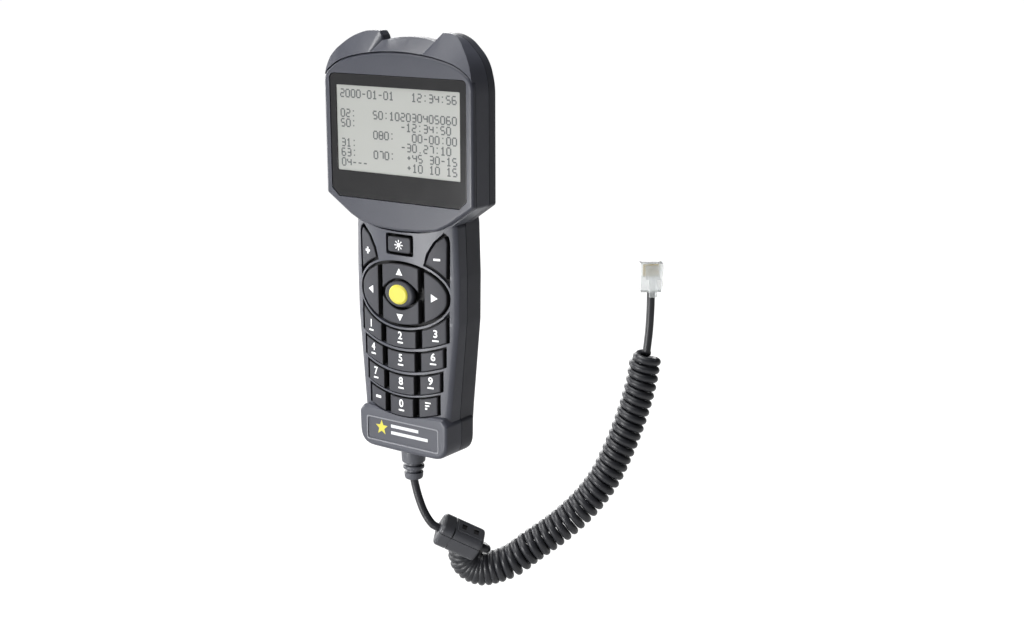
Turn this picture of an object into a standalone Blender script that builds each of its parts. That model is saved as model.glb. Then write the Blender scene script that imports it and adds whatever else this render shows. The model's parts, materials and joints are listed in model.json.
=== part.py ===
"""Hand controller of a computerised telescope mount, with its curly cord.

The handset stands upright: +Z runs along its length towards the display end, the display and the
keys face -Y, and +X is on the right of someone who looks at the keys. The origin is the centre of
the neck below the display, where the tray of a telescope tripod carries the handset. The seam of
the casing lies in the plane Y = 0. Sizes are in millimetres and the helpers turn them into metres.
"""

import math

import bmesh
import bpy
from mathutils import Matrix, Vector

MM = 0.001
GAP = 0.3  # between pieces that touch on the real object

# Depths, along Y. The seam of the casing is at 0 and the front is negative.
FASCIA_FRONT = -11.0
FASCIA_BACK = -8.9
HEAD_FRONT = -8.6
KEYPAD_FACE = -10.0
FOOT_FRONT = -10.6
HEAD_BACK = 5.2
GRIP_BACK = 12.0
FOOT_BACK = 9.5
WALL = 1.8

# Heights, along Z
HEAD_TOP = 77.2
HEAD_HALF_WIDTH = 38.9
SHOULDER = 8.8
CHIN = -4.2
FOOT_TOP = -84.0
FOOT_BOTTOM = -101.2
FOOT_HALF_WIDTH = 24.0

# Display
LENS_HALF_WIDTH = 35.75
LENS_TOP, LENS_BOTTOM = 59.9, 7.9
LCD_MIDDLE = 37.1
LCD_SIZE = (64.8, 35.8)

# Keypad
PAD_CENTRE = -31.0
PAD_HALF = (23.4, 14.3)
EYE_HALF = (9.9, 5.6)
PAD_GAP_X = 11.0  # the slots left and right of the up and down keys
SLOT = 2.3
RIB = 0.9
CLEARANCE = 0.9  # between a key and its opening, at the sides
BELOW_RIB = 0.75  # between a rib and the key under it
ABOVE_RIB = 0.3
SMILE = 0.009  # the rows sag by this much times x squared
ROW_MIDDLES = (-49.9, -60.1, -70.3, -80.2)
ROW_HALF = 4.6
KEY_FRONT = -10.3
KEY_SHOULDER = -7.9
KEY_BACK = -6.7
FLANGE = 0.5
KEY_TRAVEL = 1.0

# Screws, as (x, z) of their axes
CASE_SCREWS = ((-28.6, 63.4), (28.6, 63.4), (-15.0, -93.6), (15.0, -93.6))
BOARD_SCREWS = ((-29.2, 9.6), (29.2, 9.6))

# Cord. It hangs in one upright plane, which leaves the handset towards +X and +Y.
CORD_Y = -3.0
CORD_PLANE = math.radians(39.3)
CORD_RADIUS = 1.75
COIL_RADIUS = 6.8
RELIEF_BOTTOM = -114.5
FERRITE_MIDDLE = (19.8, -5.0, -141.0)
FERRITE_SLOPE = math.radians(-27)
FERRITE_RADIUS = 6.4
FERRITE_LENGTH = 21.0

# Routes in the cord's frame: distance from the strain relief, depth behind its plane, height
LEAD_ROUTE = (
    (0.0, 0.0, RELIEF_BOTTOM - GAP),
    (0.6, -0.2, -118.0),
    (1.9, -1.2, -123.2),
    (4.2, -2.9, -129.4),
    (7.3, -4.5, -134.2),
    (10.4, -5.0, -136.2),
    (19.8, -5.0, -141.0),
    (29.2, -5.0, -145.8),
    (32.2, -4.4, -147.6),
    (33.6, -1.8, -148.8),
    (32.4, 1.4, -148.9),
    (29.6, 3.2, -147.8),
)
COIL_ROUTE = (
    (21.7, 4.9, -150.3),
    (22.4, 4.7, -154.4),
    (25.8, 4.0, -158.2),
    (31.8, 2.8, -159.3),
    (42.5, 1.4, -155.4),
    (51.5, 0.6, -148.5),
    (63.3, 0.0, -139.8),
    (72.9, 0.0, -131.2),
    (80.0, 0.0, -122.8),
    (84.8, 0.0, -115.3),
    (88.2, 0.0, -108.0),
    (92.0, 0.0, -98.7),
    (96.4, 0.0, -85.5),
    (99.6, 0.0, -72.5),
    (101.4, 0.0, -60.0),
)
TAIL_ROUTE = (
    (101.5, 0.0, -59.6),
    (102.4, 0.0, -50.0),
    (102.8, 0.0, -40.0),
    (102.8, 0.0, -33.0),
)
PLUG_BOTTOM = -32.7

MATERIALS = {
    "body_plastic": ((0.115, 0.12, 0.14), 0.45, 0.0),
    "fascia_plastic": ((0.125, 0.13, 0.15), 0.4, 0.0),
    "key_rubber": ((0.085, 0.088, 0.105), 0.55, 0.0),
    "yellow_rubber": ((0.85, 0.78, 0.10), 0.45, 0.0),
    "lens_acrylic": ((0.04, 0.04, 0.042), 0.08, 0.0),
    "lcd_glass": ((0.66, 0.68, 0.60), 0.15, 0.0),
    "light_guide": ((0.85, 0.86, 0.84), 0.3, 0.0),
    "steel": ((0.6, 0.6, 0.62), 0.35, 1.0),
    "mat_silicone": ((0.05, 0.05, 0.055), 0.6, 0.0),
    "board_green": ((0.03, 0.16, 0.07), 0.4, 0.0),
    "chip_black": ((0.02, 0.02, 0.022), 0.4, 0.0),
    "header_nylon": ((0.75, 0.73, 0.66), 0.5, 0.0),
    "badge_film": ((0.10, 0.105, 0.12), 0.35, 0.0),
    "relief_rubber": ((0.05, 0.052, 0.06), 0.5, 0.0),
    "ferrite_plastic": ((0.05, 0.052, 0.058), 0.4, 0.0),
    "ferrite_grey": ((0.09, 0.09, 0.09), 0.7, 0.0),
    "cord_jacket": ((0.04, 0.042, 0.048), 0.45, 0.0),
    "plug_clear": ((0.75, 0.78, 0.78), 0.1, 0.0),
    "gold": ((0.9, 0.68, 0.25), 0.25, 1.0),
}


# ---- Scene, materials and helpers ----


def clear_scene():
    for obj in list(bpy.data.objects):
        bpy.data.objects.remove(obj, do_unlink=True)
    for collection in list(bpy.data.collections):
        bpy.data.collections.remove(collection)


def new_collection(name):
    collection = bpy.data.collections.new(name)
    bpy.context.scene.collection.children.link(collection)
    return collection


def material(name):
    found = bpy.data.materials.get(name)
    if found:
        return found
    colour, roughness, metallic = MATERIALS[name]
    made = bpy.data.materials.new(name)
    made.use_nodes = True
    shader = made.node_tree.nodes["Principled BSDF"]
    shader.inputs["Base Color"].default_value = (*colour, 1)
    shader.inputs["Roughness"].default_value = roughness
    shader.inputs["Metallic"].default_value = metallic
    made.diffuse_color = (*colour, 1)
    return made


def add(name, mesh, stuff, matrix=None):
    """An object in the part's collection, or among the helpers when stuff is None."""
    obj = bpy.data.objects.new(name, mesh)
    if matrix is not None:
        obj.matrix_world = matrix
    if stuff is None:
        HELPERS.objects.link(obj)
        obj.hide_render = True
        obj.display_type = "WIRE"
    else:
        PART.objects.link(obj)
        mesh.materials.append(material(stuff))
    return obj


def cut(target, *cutters):
    for cutter in cutters:
        change(target, cutter, "DIFFERENCE")


def join(target, *others):
    for other in others:
        change(target, other, "UNION")


def change(target, other, operation):
    boolean = target.modifiers.new(other.name, "BOOLEAN")
    boolean.operation = operation
    boolean.solver = "EXACT"
    boolean.object = other


def box(name, low, high, stuff=None, matrix=None):
    low, high = Vector(low) * MM, Vector(high) * MM
    bm = bmesh.new()
    bmesh.ops.create_cube(bm, size=1)
    bmesh.ops.scale(bm, vec=high - low, verts=bm.verts)
    bmesh.ops.translate(bm, vec=(low + high) / 2, verts=bm.verts)
    return finished(name, bm, stuff, matrix)


def rod(name, radius, start, end, stuff=None, sides=20, matrix=None, edge=0.0):
    """A cylinder from one point to another, with its rims chamfered by edge."""
    start, end = Vector(start) * MM, Vector(end) * MM
    along = end - start
    turn = along.to_track_quat("Z", "Y").to_matrix().to_4x4()
    place = Matrix.Translation((start + end) / 2) @ turn
    bm = bmesh.new()
    bmesh.ops.create_cone(
        bm,
        cap_ends=True,
        segments=sides,
        radius1=radius * MM,
        radius2=radius * MM,
        depth=along.length,
        matrix=place,
    )
    if edge:
        rims = [e for e in bm.edges if any(len(face.verts) > 4 for face in e.link_faces)]
        bmesh.ops.bevel(bm, geom=rims, offset=edge * MM, segments=2, affect="EDGES", profile=0.5)
    return finished(name, bm, stuff, matrix)


def finished(name, bm, stuff, matrix):
    mesh = bpy.data.meshes.new(name)
    bm.to_mesh(mesh)
    bm.free()
    mesh.shade_smooth()
    mesh.set_sharp_from_angle(angle=math.radians(35))
    return add(name, mesh, stuff, matrix)


def plate(name, outline, front, back, stuff=None, edge=0.0, grow=0.0):
    """An outline in X and Z, extruded along Y, with its edges rounded by edge."""
    curve = bpy.data.curves.new(name, "CURVE")
    curve.dimensions = "2D"
    curve.fill_mode = "BOTH"
    curve.extrude = ((back - front) / 2 - edge) * MM
    curve.bevel_depth = edge * MM
    curve.bevel_resolution = 1
    curve.offset = (grow - edge) * MM
    spline = curve.splines.new("POLY")
    spline.points.add(len(outline) - 1)
    for point, (x, z) in zip(spline.points, outline):
        point.co = (x * MM, z * MM, 0, 1)
    spline.use_cyclic_u = True
    guide = bpy.data.objects.new(name + "_outline", curve)
    HELPERS.objects.link(guide)
    bpy.context.view_layer.update()
    graph = bpy.context.evaluated_depsgraph_get()
    mesh = bpy.data.meshes.new_from_object(guide.evaluated_get(graph))
    bpy.data.objects.remove(guide)
    bm = bmesh.new()
    bm.from_mesh(mesh)
    bmesh.ops.remove_doubles(bm, verts=bm.verts, dist=1e-6)
    bmesh.ops.recalc_face_normals(bm, faces=bm.faces)
    upright = Matrix.Rotation(math.pi / 2, 4, "X")
    middle = Matrix.Translation((0, (front + back) / 2 * MM, 0))
    bmesh.ops.transform(bm, matrix=middle @ upright, verts=bm.verts)
    return finished(name, bm, stuff, None)


# ---- Outlines ----


def rounded(corners, steps=4):
    """The (x, z) points of a polygon whose corners are (x, z, radius)."""
    points = []
    for i, (x, z, radius) in enumerate(corners):
        here = Vector((x, z))
        if not radius:
            points.append(tuple(here))
            continue
        before = Vector(corners[i - 1][:2]) - here
        after = Vector(corners[(i + 1) % len(corners)][:2]) - here
        half = before.angle(after) / 2
        reach = min(radius / math.tan(half), 0.49 * before.length, 0.49 * after.length)
        start, end = here + before.normalized() * reach, here + after.normalized() * reach
        for k in range(steps + 1):
            t = k / steps
            points.append(tuple(start * (1 - t) ** 2 + here * 2 * t * (1 - t) + end * t * t))
    return points


def mirrored(half):
    """A closed list of corners from its right half, which runs from the top to the bottom."""
    left = [(-x, z, radius) for x, z, radius in reversed(half) if x > 0]
    return [*half, *left]


def rectangle(middle, size, radius):
    """Corners of a rounded rectangle, clockwise from the top right."""
    (x, z), (width, height) = middle, size
    right, top = x + width / 2, z + height / 2
    left, bottom = x - width / 2, z - height / 2
    return [(right, top, radius), (right, bottom, radius), (left, bottom, radius), (left, top, radius)]


def between(start, end, count):
    return [start + (end - start) * k / (count - 1) for k in range(count)]


def smile(x, middle):
    return middle + SMILE * x * x


def pad_edge(x, grow, side):
    """The height of the pad's ellipse at x, on its upper (1) or lower (-1) side."""
    wide, high = PAD_HALF[0] + grow, PAD_HALF[1] + grow
    return PAD_CENTRE + side * high * math.sqrt(max(0.0, 1 - (x / wide) ** 2))


def eye_edge(x, grow, side):
    """The height of the eye round the enter key at x."""
    wide, high = EYE_HALF[0] + grow, EYE_HALF[1] + grow
    return PAD_CENTRE + side * high * (1 - (x / wide) ** 2)


def keypad_half_width(z):
    """The keypad narrows from the arrow pad down to the foot."""
    return PAD_HALF[0] - 0.095 * max(0.0, PAD_CENTRE - z)


def strip(left, right, top, bottom, count=5):
    """A closed outline between two curves, each a function of x."""
    xs = between(left, right, count)
    return [(x, top(x)) for x in xs] + [(x, bottom(x)) for x in reversed(xs)]


def row_top(row, grow):
    """The upper curve of a row of keys: the first row follows the arrow pad."""
    if row == 0:
        return lambda x: pad_edge(x, RIB - grow, -1)
    return lambda x: smile(x, ROW_MIDDLES[row] + ROW_HALF + grow)


def row_bottom(row, grow):
    return lambda x: smile(x, ROW_MIDDLES[row] - ROW_HALF - grow)


HEAD_OUTLINE = rounded(
    mirrored(
        [
            (0, 75.2, 0),
            (5.0, 74.95, 0),
            (10.0, 74.2, 0),
            (14.4, 73.3, 0),
            (15.2, 75.4, 0.6),
            (16.6, HEAD_TOP, 1.0),
            (22.8, HEAD_TOP, 1.5),
            (28.6, 75.0, 4),
            (36.6, 67.8, 8),
            (HEAD_HALF_WIDTH, 58.0, 8),
            (HEAD_HALF_WIDTH, SHOULDER, 1.5),
            (26.2, 0.0, 1.5),
            (21.0, -1.5, 0),
        ]
    )
)
HEAD_INSIDE = rounded(
    mirrored(
        [
            (12.0, 68.6, 3),
            (27.0, 68.6, 6),
            (36.6, 60.0, 10),
            (36.6, 10.0, 1.5),
            (25.0, 1.6, 1.5),
            (22.0, -3.0, 0),
        ]
    )
)
GRIP_OUTLINE = rounded(
    mirrored(
        [
            (22.6, 6.0, 0),
            (25.5, -0.6, 3),
            (25.6, -22.0, 20),
            (25.1, -42.0, 20),
            (21.9, -80.0, 6),
            (21.2, -92.0, 3),
        ]
    )
)
FOOT_OUTLINE = rounded(
    mirrored(
        [
            (21.4, FOOT_TOP + 1.5, 2),
            (FOOT_HALF_WIDTH, FOOT_TOP - 1.5, 2),
            (FOOT_HALF_WIDTH - 0.3, FOOT_BOTTOM + 0.3, 7.5),
            (0, FOOT_BOTTOM, 0),
        ]
    )
)
BROW = ((0, 69.6), (13.0, 68.9), (25.0, 66.8), (32.6, 64.0))  # the seam above the display
FASCIA_OUTLINE = rounded(
    mirrored(
        [
            *((x, z, 0) for x, z in BROW),
            (38.9, 59.6, 3),
            (38.9, SHOULDER + 0.2, 1.5),
            (26.0, 0.6, 1.5),
            (20.0, -2.3, 4),
            (10.0, -3.8, 0),
            (0, CHIN, 0),
        ]
    )
)
LENS_OUTLINE = rounded(
    mirrored(
        [
            (LENS_HALF_WIDTH, LENS_TOP, 2.5),
            (LENS_HALF_WIDTH, LENS_BOTTOM + 3.4, 0.6),
            (LENS_HALF_WIDTH - 3.8, LENS_BOTTOM, 0.6),
        ]
    ),
    steps=3,
)


# ---- Casing ----


def cavity_cutters():
    """The room inside, which both halves of the casing share."""
    return (
        plate("head_room", HEAD_INSIDE, HEAD_FRONT + WALL, HEAD_BACK - WALL),
        plate("grip_room", GRIP_OUTLINE, KEYPAD_FACE + WALL, GRIP_BACK - WALL, grow=-WALL),
        plate("foot_room", FOOT_OUTLINE, FOOT_FRONT + 1.35 * WALL, FOOT_BACK - WALL, grow=-WALL),
    )


def relief_hole():
    return rod("relief_hole", 4.5, (0, CORD_Y, FOOT_BOTTOM - 3), (0, CORD_Y, FOOT_BOTTOM + 6), sides=24)


def front_shell(room, hole):
    shell = plate("front_shell", GRIP_OUTLINE, KEYPAD_FACE, 6, "body_plastic", edge=2.2)
    head = plate("front_head", HEAD_OUTLINE, FASCIA_FRONT + 0.1, 4)
    cut(head, plate("head_seat", brow_cut_outline(), -20, HEAD_FRONT), slant())
    foot = plate("front_foot", FOOT_OUTLINE, FOOT_FRONT, 4, edge=1.4)
    ahead = plate("fascia_seat", FASCIA_OUTLINE, -20, HEAD_FRONT + 0.07, grow=0.4)
    behind = box("behind_seam", (-60, 0, -120), (60, 30, 100))
    cut(shell, ahead)
    join(shell, head, foot)
    cut(shell, behind, *room)
    cut(shell, plate("lcd_opening", rounded(rectangle((0, LCD_MIDDLE), (67.4, 38.4), 1)), -10, -5))
    cut(shell, *keypad_openings())
    cut(shell, plate("badge_seat", badge_outline(0), -12, FOOT_FRONT + 0.75))
    for i, (x, z) in enumerate(CASE_SCREWS, 1):
        join(shell, rod(f"front_boss_{i}", 3.2, (x, -8.45, z), (x, -0.06, z), sides=16))
        cut(shell, rod(f"front_pilot_{i}", 1.55, (x, -6.6, z), (x, 2, z), sides=12))
    for i, (x, z) in enumerate(BOARD_SCREWS, 1):
        join(shell, rod(f"board_boss_{i}", 2.6, (x, -7.5, z), (x, -2.6, z), sides=16))
        cut(shell, rod(f"board_pilot_{i}", 1.3, (x, -6.2, z), (x, 0, z), sides=12))
    cut(shell, hole)
    return shell


def brow_cut_outline():
    """Everything below the seam between the fascia and the brow."""
    upper = [(x, z + GAP) for x, z in BROW] + [(38.9 + GAP, 59.6 + GAP), (60, 50)]
    left = [(-x, z) for x, z in reversed(upper) if x > 0]
    return [*upper, (60, -60), (-60, -60), *left]


def slant(name="brow_slope"):
    """The lugs lean back from the brow: what lies in front of this slope is cut away."""
    foot = Vector((0, FASCIA_FRONT + 0.1, 69.3)) * MM
    place = Matrix.Translation(foot) @ Matrix.Rotation(math.radians(-59), 4, "X")
    return box(name, (-60, -30, -20), (60, 0, 40), None, place)


def rear_shell(room, hole):
    shell = plate("rear_shell", GRIP_OUTLINE, -6, GRIP_BACK, "body_plastic", edge=3.6)
    head = plate("rear_head", HEAD_OUTLINE, -4, HEAD_BACK, edge=1.7)
    cut(head, slant("rear_slope"))
    foot = plate("rear_foot", FOOT_OUTLINE, -4, FOOT_BACK, edge=1.8)
    join(shell, head, foot)
    cut(shell, box("before_seam", (-60, -30, -120), (60, GAP, 100)), *room)
    bosses, holes = [], []
    for i, (x, z) in enumerate(CASE_SCREWS, 1):
        back = HEAD_BACK if z > 0 else FOOT_BACK
        seat = screw_seat(z)
        bosses.append(rod(f"rear_boss_{i}", 4.2, (x, GAP + 0.06, z), (x, back - 0.8, z)))
        holes.append(rod(f"rear_recess_{i}", 3.1, (x, seat, z), (x, back + 3, z), sides=16))
        holes.append(rod(f"rear_hole_{i}", 1.6, (x, -2, z), (x, seat + 1, z), sides=12))
    join(shell, *bosses)
    cut(shell, *holes)
    cut(shell, hole)
    return shell


def screw_seat(z):
    """The depth where a case screw's head sits: the screws at the foot are sunk."""
    return 2.6 if z > 0 else 4.6


def screws():
    for i, (x, z) in enumerate(CASE_SCREWS, 1):
        seat = screw_seat(z) + GAP
        screw = rod(f"case_screw_{i}", 2.7, (x, seat, z), (x, seat + 1.8, z), "steel", sides=16)
        join(screw, rod(f"case_shank_{i}", 1.25, (x, -5.8, z), (x, seat + 0.5, z), sides=10))
        cut(screw, *cross_slot(f"case_slot_{i}", x, z, seat + 1.0, seat + 3))
    for i, (x, z) in enumerate(BOARD_SCREWS, 1):
        screw = rod(f"board_screw_{i}", 2.2, (x, -0.4, z), (x, 1.2, z), "steel", sides=14)
        join(screw, rod(f"board_shank_{i}", 1.0, (x, -5.6, z), (x, 0, z), sides=10))
        cut(screw, *cross_slot(f"board_slot_{i}", x, z, 0.4, 3))


def cross_slot(name, x, z, start, end):
    across = box(name + "_a", (x - 1.5, start, z - 0.35), (x + 1.5, end, z + 0.35))
    down = box(name + "_b", (x - 0.35, start, z - 1.5), (x + 0.35, end, z + 1.5))
    return across, down


def badge_outline(inset):
    return rounded(rectangle((0, -92.7), (39.5 - 2 * inset, 11.0 - 2 * inset), 1.2))


def badge():
    plate("badge_plate", badge_outline(GAP), FOOT_FRONT + 0.05, FOOT_FRONT + 0.45, "badge_film")


# ---- Display ----


def display():
    fascia = plate("head_fascia", FASCIA_OUTLINE, FASCIA_FRONT, FASCIA_BACK + 2, "fascia_plastic", edge=0.9)
    cut(fascia, box("fascia_behind", (-50, FASCIA_BACK, -20), (50, 0, 90)))
    cut(fascia, plate("lens_opening", LENS_OUTLINE, -14, -6))
    plate("display_lens", LENS_OUTLINE, FASCIA_FRONT + 0.2, FASCIA_BACK, "lens_acrylic", grow=-GAP)

    width, height = LCD_SIZE
    low, high = LCD_MIDDLE - height / 2, LCD_MIDDLE + height / 2
    half = width / 2
    bezel = box("lcd_bezel", (-half - 3.4, -6.5, low - 4.4), (half + 3.4, -2.7, high + 4.4), "steel")
    cut(
        bezel,
        box("bezel_room", (-half - 2.7, -5.9, low - 3.7), (half + 2.7, 0, high + 3.7)),
        box("bezel_opening", (-half - 0.4, -9, low - 0.4), (half + 0.4, -4, high + 0.4)),
    )
    glass_low, glass_high = low - 3.4, high + 3.4
    box("lcd_glass", (-half - 2.4, -5.6, glass_low), (half + 2.4, -4.5, glass_high), "lcd_glass")
    box("lcd_light_guide", (-half - 2.4, -4.2, glass_low), (half + 2.4, -3.0, glass_high), "light_guide")


# ---- Keypad ----


def leaf(side, grow):
    """The outline of the plus (-1, left) or minus (1, right) opening beside the light key."""
    inner, outer = 11.9 - grow, 23.3 + min(grow, 0)
    bottom = [(x, pad_edge(x, RIB - min(grow, 0.15), 1)) for x in between(outer - 0.3, inner, 5)]
    corners = [
        (20.9 - grow * 0.2, -3.6 + grow * 1.3),
        (outer - 0.6, -4.6 + grow * 0.7),
        (outer, -7.0),
        *bottom,
        (13.4 - grow, -12.4),
        (16.6 - grow, -7.4),
    ]
    return [(side * x, z) for x, z in corners][:: int(side)]


def oval(middle, half, count=20):
    (x, z), (wide, high) = middle, half
    turns = [2 * math.pi * k / count for k in range(count)]
    return [(x + wide * math.cos(a), z - high * math.sin(a)) for a in turns]


def light_outline(grow):
    return rounded(rectangle((0, -9.9), (14.6 + 2 * grow, 9.2 + 2 * grow), 1.3), steps=3)


def keypad_openings():
    cutters = [
        plate("light_opening", light_outline(0), -14, -7),
        plate("leaf_opening_right", leaf(1, 0), -14, -7),
        plate("leaf_opening_left", leaf(-1, 0), -14, -7),
        plate("pad_opening", oval((0, PAD_CENTRE), PAD_HALF, 40), -14, -7),
    ]
    for row, middle in enumerate(ROW_MIDDLES):
        wide = keypad_half_width(middle)
        outline = strip(-wide, wide, row_top(row, 0), row_bottom(row, 0), 13)
        cutters.append(plate(f"row_opening_{row + 1}", outline, -14, -7))
    return cutters


def key(name, outline, front=KEY_FRONT):
    """A key cap with a flange that keeps it behind the casing's front wall."""
    cap = plate(name, outline(-CLEARANCE), front, KEY_SHOULDER + 0.4, "key_rubber")
    join(cap, plate(name + "_flange", outline(FLANGE), KEY_SHOULDER, KEY_BACK))
    return cap


def number_outline(column, row):
    """A key of the number block, between the slots of its column and the curves of its row."""
    middle = ROW_MIDDLES[row]
    slot = 8.7 - 0.022 * (ROW_MIDDLES[0] - middle)
    edge = keypad_half_width(middle)

    def outline(grow):
        wide = max(grow, 0) * 1.2
        if column == 0:
            left, right = -slot + SLOT / 2 - wide, slot - SLOT / 2 + wide
        else:
            near, far = slot + SLOT / 2 - wide, edge + grow
            left, right = sorted((column * near, column * far))
        above, below = (0.2, 0.2) if grow > 0 else (-BELOW_RIB, -ABOVE_RIB)
        return strip(left, right, row_top(row, above), row_bottom(row, below))

    return outline


def arrow_outlines():
    """The four arrow keys fill the ellipse round the eye."""
    inner = PAD_GAP_X - SLOT / 2
    outer = PAD_GAP_X + SLOT / 2

    def vertical(side):
        def outline(grow):
            wide = inner + max(grow, 0) * 1.2
            edge = lambda x: pad_edge(x, grow, side)
            eye = lambda x: eye_edge(x, 1.1 - max(grow, 0) * 0.6, side)
            floor = lambda x: max(eye(x) * side, PAD_CENTRE * side + 1.2) * side
            top, bottom = (edge, floor) if side > 0 else (floor, edge)
            return strip(-wide, wide, top, bottom, 9)

        return outline

    def sideways(side):
        def outline(grow):
            near = outer - max(grow, 0) * 1.2
            far = PAD_HALF[0] + min(grow, 0) - 0.25
            xs = [near + (far - near) * math.sin(math.pi / 2 * k / 6) for k in range(7)]
            upper = [(side * x, pad_edge(x, grow, 1)) for x in xs]
            lower = [(side * x, pad_edge(x, grow, -1)) for x in reversed(xs)]
            return (upper + lower)[:: int(side)]

        return outline

    return {
        "key_up": vertical(1),
        "key_down": vertical(-1),
        "key_right": sideways(1),
        "key_left": sideways(-1),
    }


def keys():
    key("key_light", light_outline)
    key("key_plus", lambda grow: leaf(-1, grow))
    key("key_minus", lambda grow: leaf(1, grow))
    for name, outline in arrow_outlines().items():
        key(name, outline)
    enter_key()
    names = ("1 2 3", "4 5 6", "7 8 9", "menu 0 function")
    for row, line in enumerate(names):
        for column, word in zip((-1, 0, 1), line.split()):
            key(f"key_{word}", number_outline(column, row))


def enter_key():
    """An eye-shaped base sunk below its neighbours, and an oval boss that carries the yellow pad."""

    def eye(grow):
        wide = EYE_HALF[0] + min(grow, 0) * 0.4
        rise = min(grow, 0) * 0.3
        return strip(-wide, wide, lambda x: eye_edge(x, rise, 1) + 0.1, lambda x: eye_edge(x, rise, -1) - 0.1, 9)

    base = key("key_enter", eye, front=-9.0)
    join(base, plate("enter_boss", oval((0, PAD_CENTRE), (6.8, 4.9)), -10.6, -8.5))
    plate("enter_pad", oval((0, PAD_CENTRE), (5.4, 4.5)), -12.2, -10.6 - GAP, "yellow_rubber", edge=0.5)


def mat_and_board():
    mat = [(21.4, -4.0, 3), (21.6, -40.0, 10), (18.0, -86.4, 3)]
    plate("keypad_mat", rounded(mirrored(mat)), -5.2, -2.7, "mat_silicone")
    board = [(34.5, 59.6, 1), (34.5, 13.5, 1), (34.5, 12.0, 0), (24.0, 4.8, 1), (22.0, -10, 3), (19.5, -60, 10), (17.4, -88.0, 1)]  # fmt: skip
    main = plate("main_board", rounded(mirrored(board)), -2.4, -0.8, "board_green")
    join(main, *(rod(f"board_ear_{i}", 3.0, (x, -2.4, z), (x, -0.8, z), sides=16) for i, (x, z) in enumerate(BOARD_SCREWS, 1)))
    for i, (x, z) in enumerate(BOARD_SCREWS, 1):
        cut(main, rod(f"board_hole_{i}", 1.35, (x, -4, z), (x, 1, z), sides=12))
    box("processor", (-7, -0.5, 22), (7, 1.3, 36), "chip_black")
    box("cord_header", (-7, -0.5, -85), (7, 5.2, -78), "header_nylon")


# ---- Cord, ferrite and plug ----

CORD_FRAME = Matrix.Translation((0, CORD_Y * MM, 0)) @ Matrix.Rotation(CORD_PLANE, 4, "Z")


def smooth_route(route, spacing):
    """Evenly spaced points of a smooth curve through the route's points."""
    points = [Vector(point) for point in route]
    ends = [points[0] * 2 - points[1], *points, points[-1] * 2 - points[-2]]
    fine = []
    for a, b, c, d in zip(ends, ends[1:], ends[2:], ends[3:]):
        for k in range(20):
            t = k / 20
            fine.append(
                (2 * b + (c - a) * t + (2 * a - 5 * b + 4 * c - d) * t**2 + (3 * b - a - 3 * c + d) * t**3) / 2
            )
    fine.append(points[-1])
    lengths = [0.0]
    for a, b in zip(fine, fine[1:]):
        lengths.append(lengths[-1] + (b - a).length)
    count = max(2, round(lengths[-1] / spacing) + 1)
    even = []
    for want in between(0.0, lengths[-1], count):
        i = next(k for k in range(1, len(lengths)) if lengths[k] >= want - 1e-9)
        share = (want - lengths[i - 1]) / (lengths[i] - lengths[i - 1])
        even.append(fine[i - 1].lerp(fine[i], share))
    return even


def tube(name, route, radius, spacing, resolution, stuff):
    curve = bpy.data.curves.new(name, "CURVE")
    curve.dimensions = "3D"
    curve.bevel_depth = radius * MM
    curve.bevel_resolution = resolution
    curve.use_fill_caps = True
    points = smooth_route(route, spacing)
    spline = curve.splines.new("POLY")
    spline.points.add(len(points) - 1)
    for point, place in zip(spline.points, points):
        point.co = (*(place * MM), 1)
    spline.use_smooth = True
    curve.materials.append(material(stuff))
    obj = bpy.data.objects.new(name, curve)
    obj.matrix_world = CORD_FRAME
    PART.objects.link(obj)


def cord():
    tube("cord_lead", LEAD_ROUTE, CORD_RADIUS, 1.9, 2, "cord_jacket")
    tube("cord_coil", COIL_ROUTE, COIL_RADIUS, 4.5, 3, "cord_jacket")
    tube("cord_tail", TAIL_ROUTE, CORD_RADIUS, 6.0, 2, "cord_jacket")


def strain_relief():
    """A turned boot: a flange inside the case, a neck in its wall and a ribbed taper below."""
    top = FOOT_BOTTOM + 5.4
    profile = [
        (2.2, top),
        (4.8, top),
        (4.8, FOOT_BOTTOM + WALL + GAP + 0.4),
        (4.1, FOOT_BOTTOM + WALL + GAP + 0.2),
        (4.1, FOOT_BOTTOM - GAP),
        (5.3, FOOT_BOTTOM - GAP - 0.1),
        (5.1, FOOT_BOTTOM - 5.4),
        (4.1, FOOT_BOTTOM - 5.8),
        (4.1, FOOT_BOTTOM - 7.0),
        (4.6, FOOT_BOTTOM - 7.4),
        (4.5, FOOT_BOTTOM - 8.6),
        (3.7, FOOT_BOTTOM - 9.0),
        (3.7, FOOT_BOTTOM - 10.0),
        (4.1, FOOT_BOTTOM - 10.4),
        (3.8, RELIEF_BOTTOM),
        (2.2, RELIEF_BOTTOM),
    ]
    mesh = bpy.data.meshes.new("strain_relief")
    points = [(x * MM, 0, z * MM) for x, z in profile]
    edges = [(i, (i + 1) % len(points)) for i in range(len(points))]
    mesh.from_pydata(points, edges, [])
    boot = add("strain_relief", mesh, "relief_rubber", Matrix.Translation((0, CORD_Y * MM, 0)))
    screw = boot.modifiers.new("turn", "SCREW")
    screw.steps = screw.render_steps = 20
    screw.use_merge_vertices = True
    screw.merge_threshold = 1e-6
    return boot


def ferrite_frame():
    """X runs along the core's bore, Y away from the viewer and Z up, across the split."""
    place = Matrix.Translation(Vector(FERRITE_MIDDLE) * MM) @ Matrix.Rotation(-FERRITE_SLOPE, 4, "Y")
    return CORD_FRAME @ place


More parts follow.
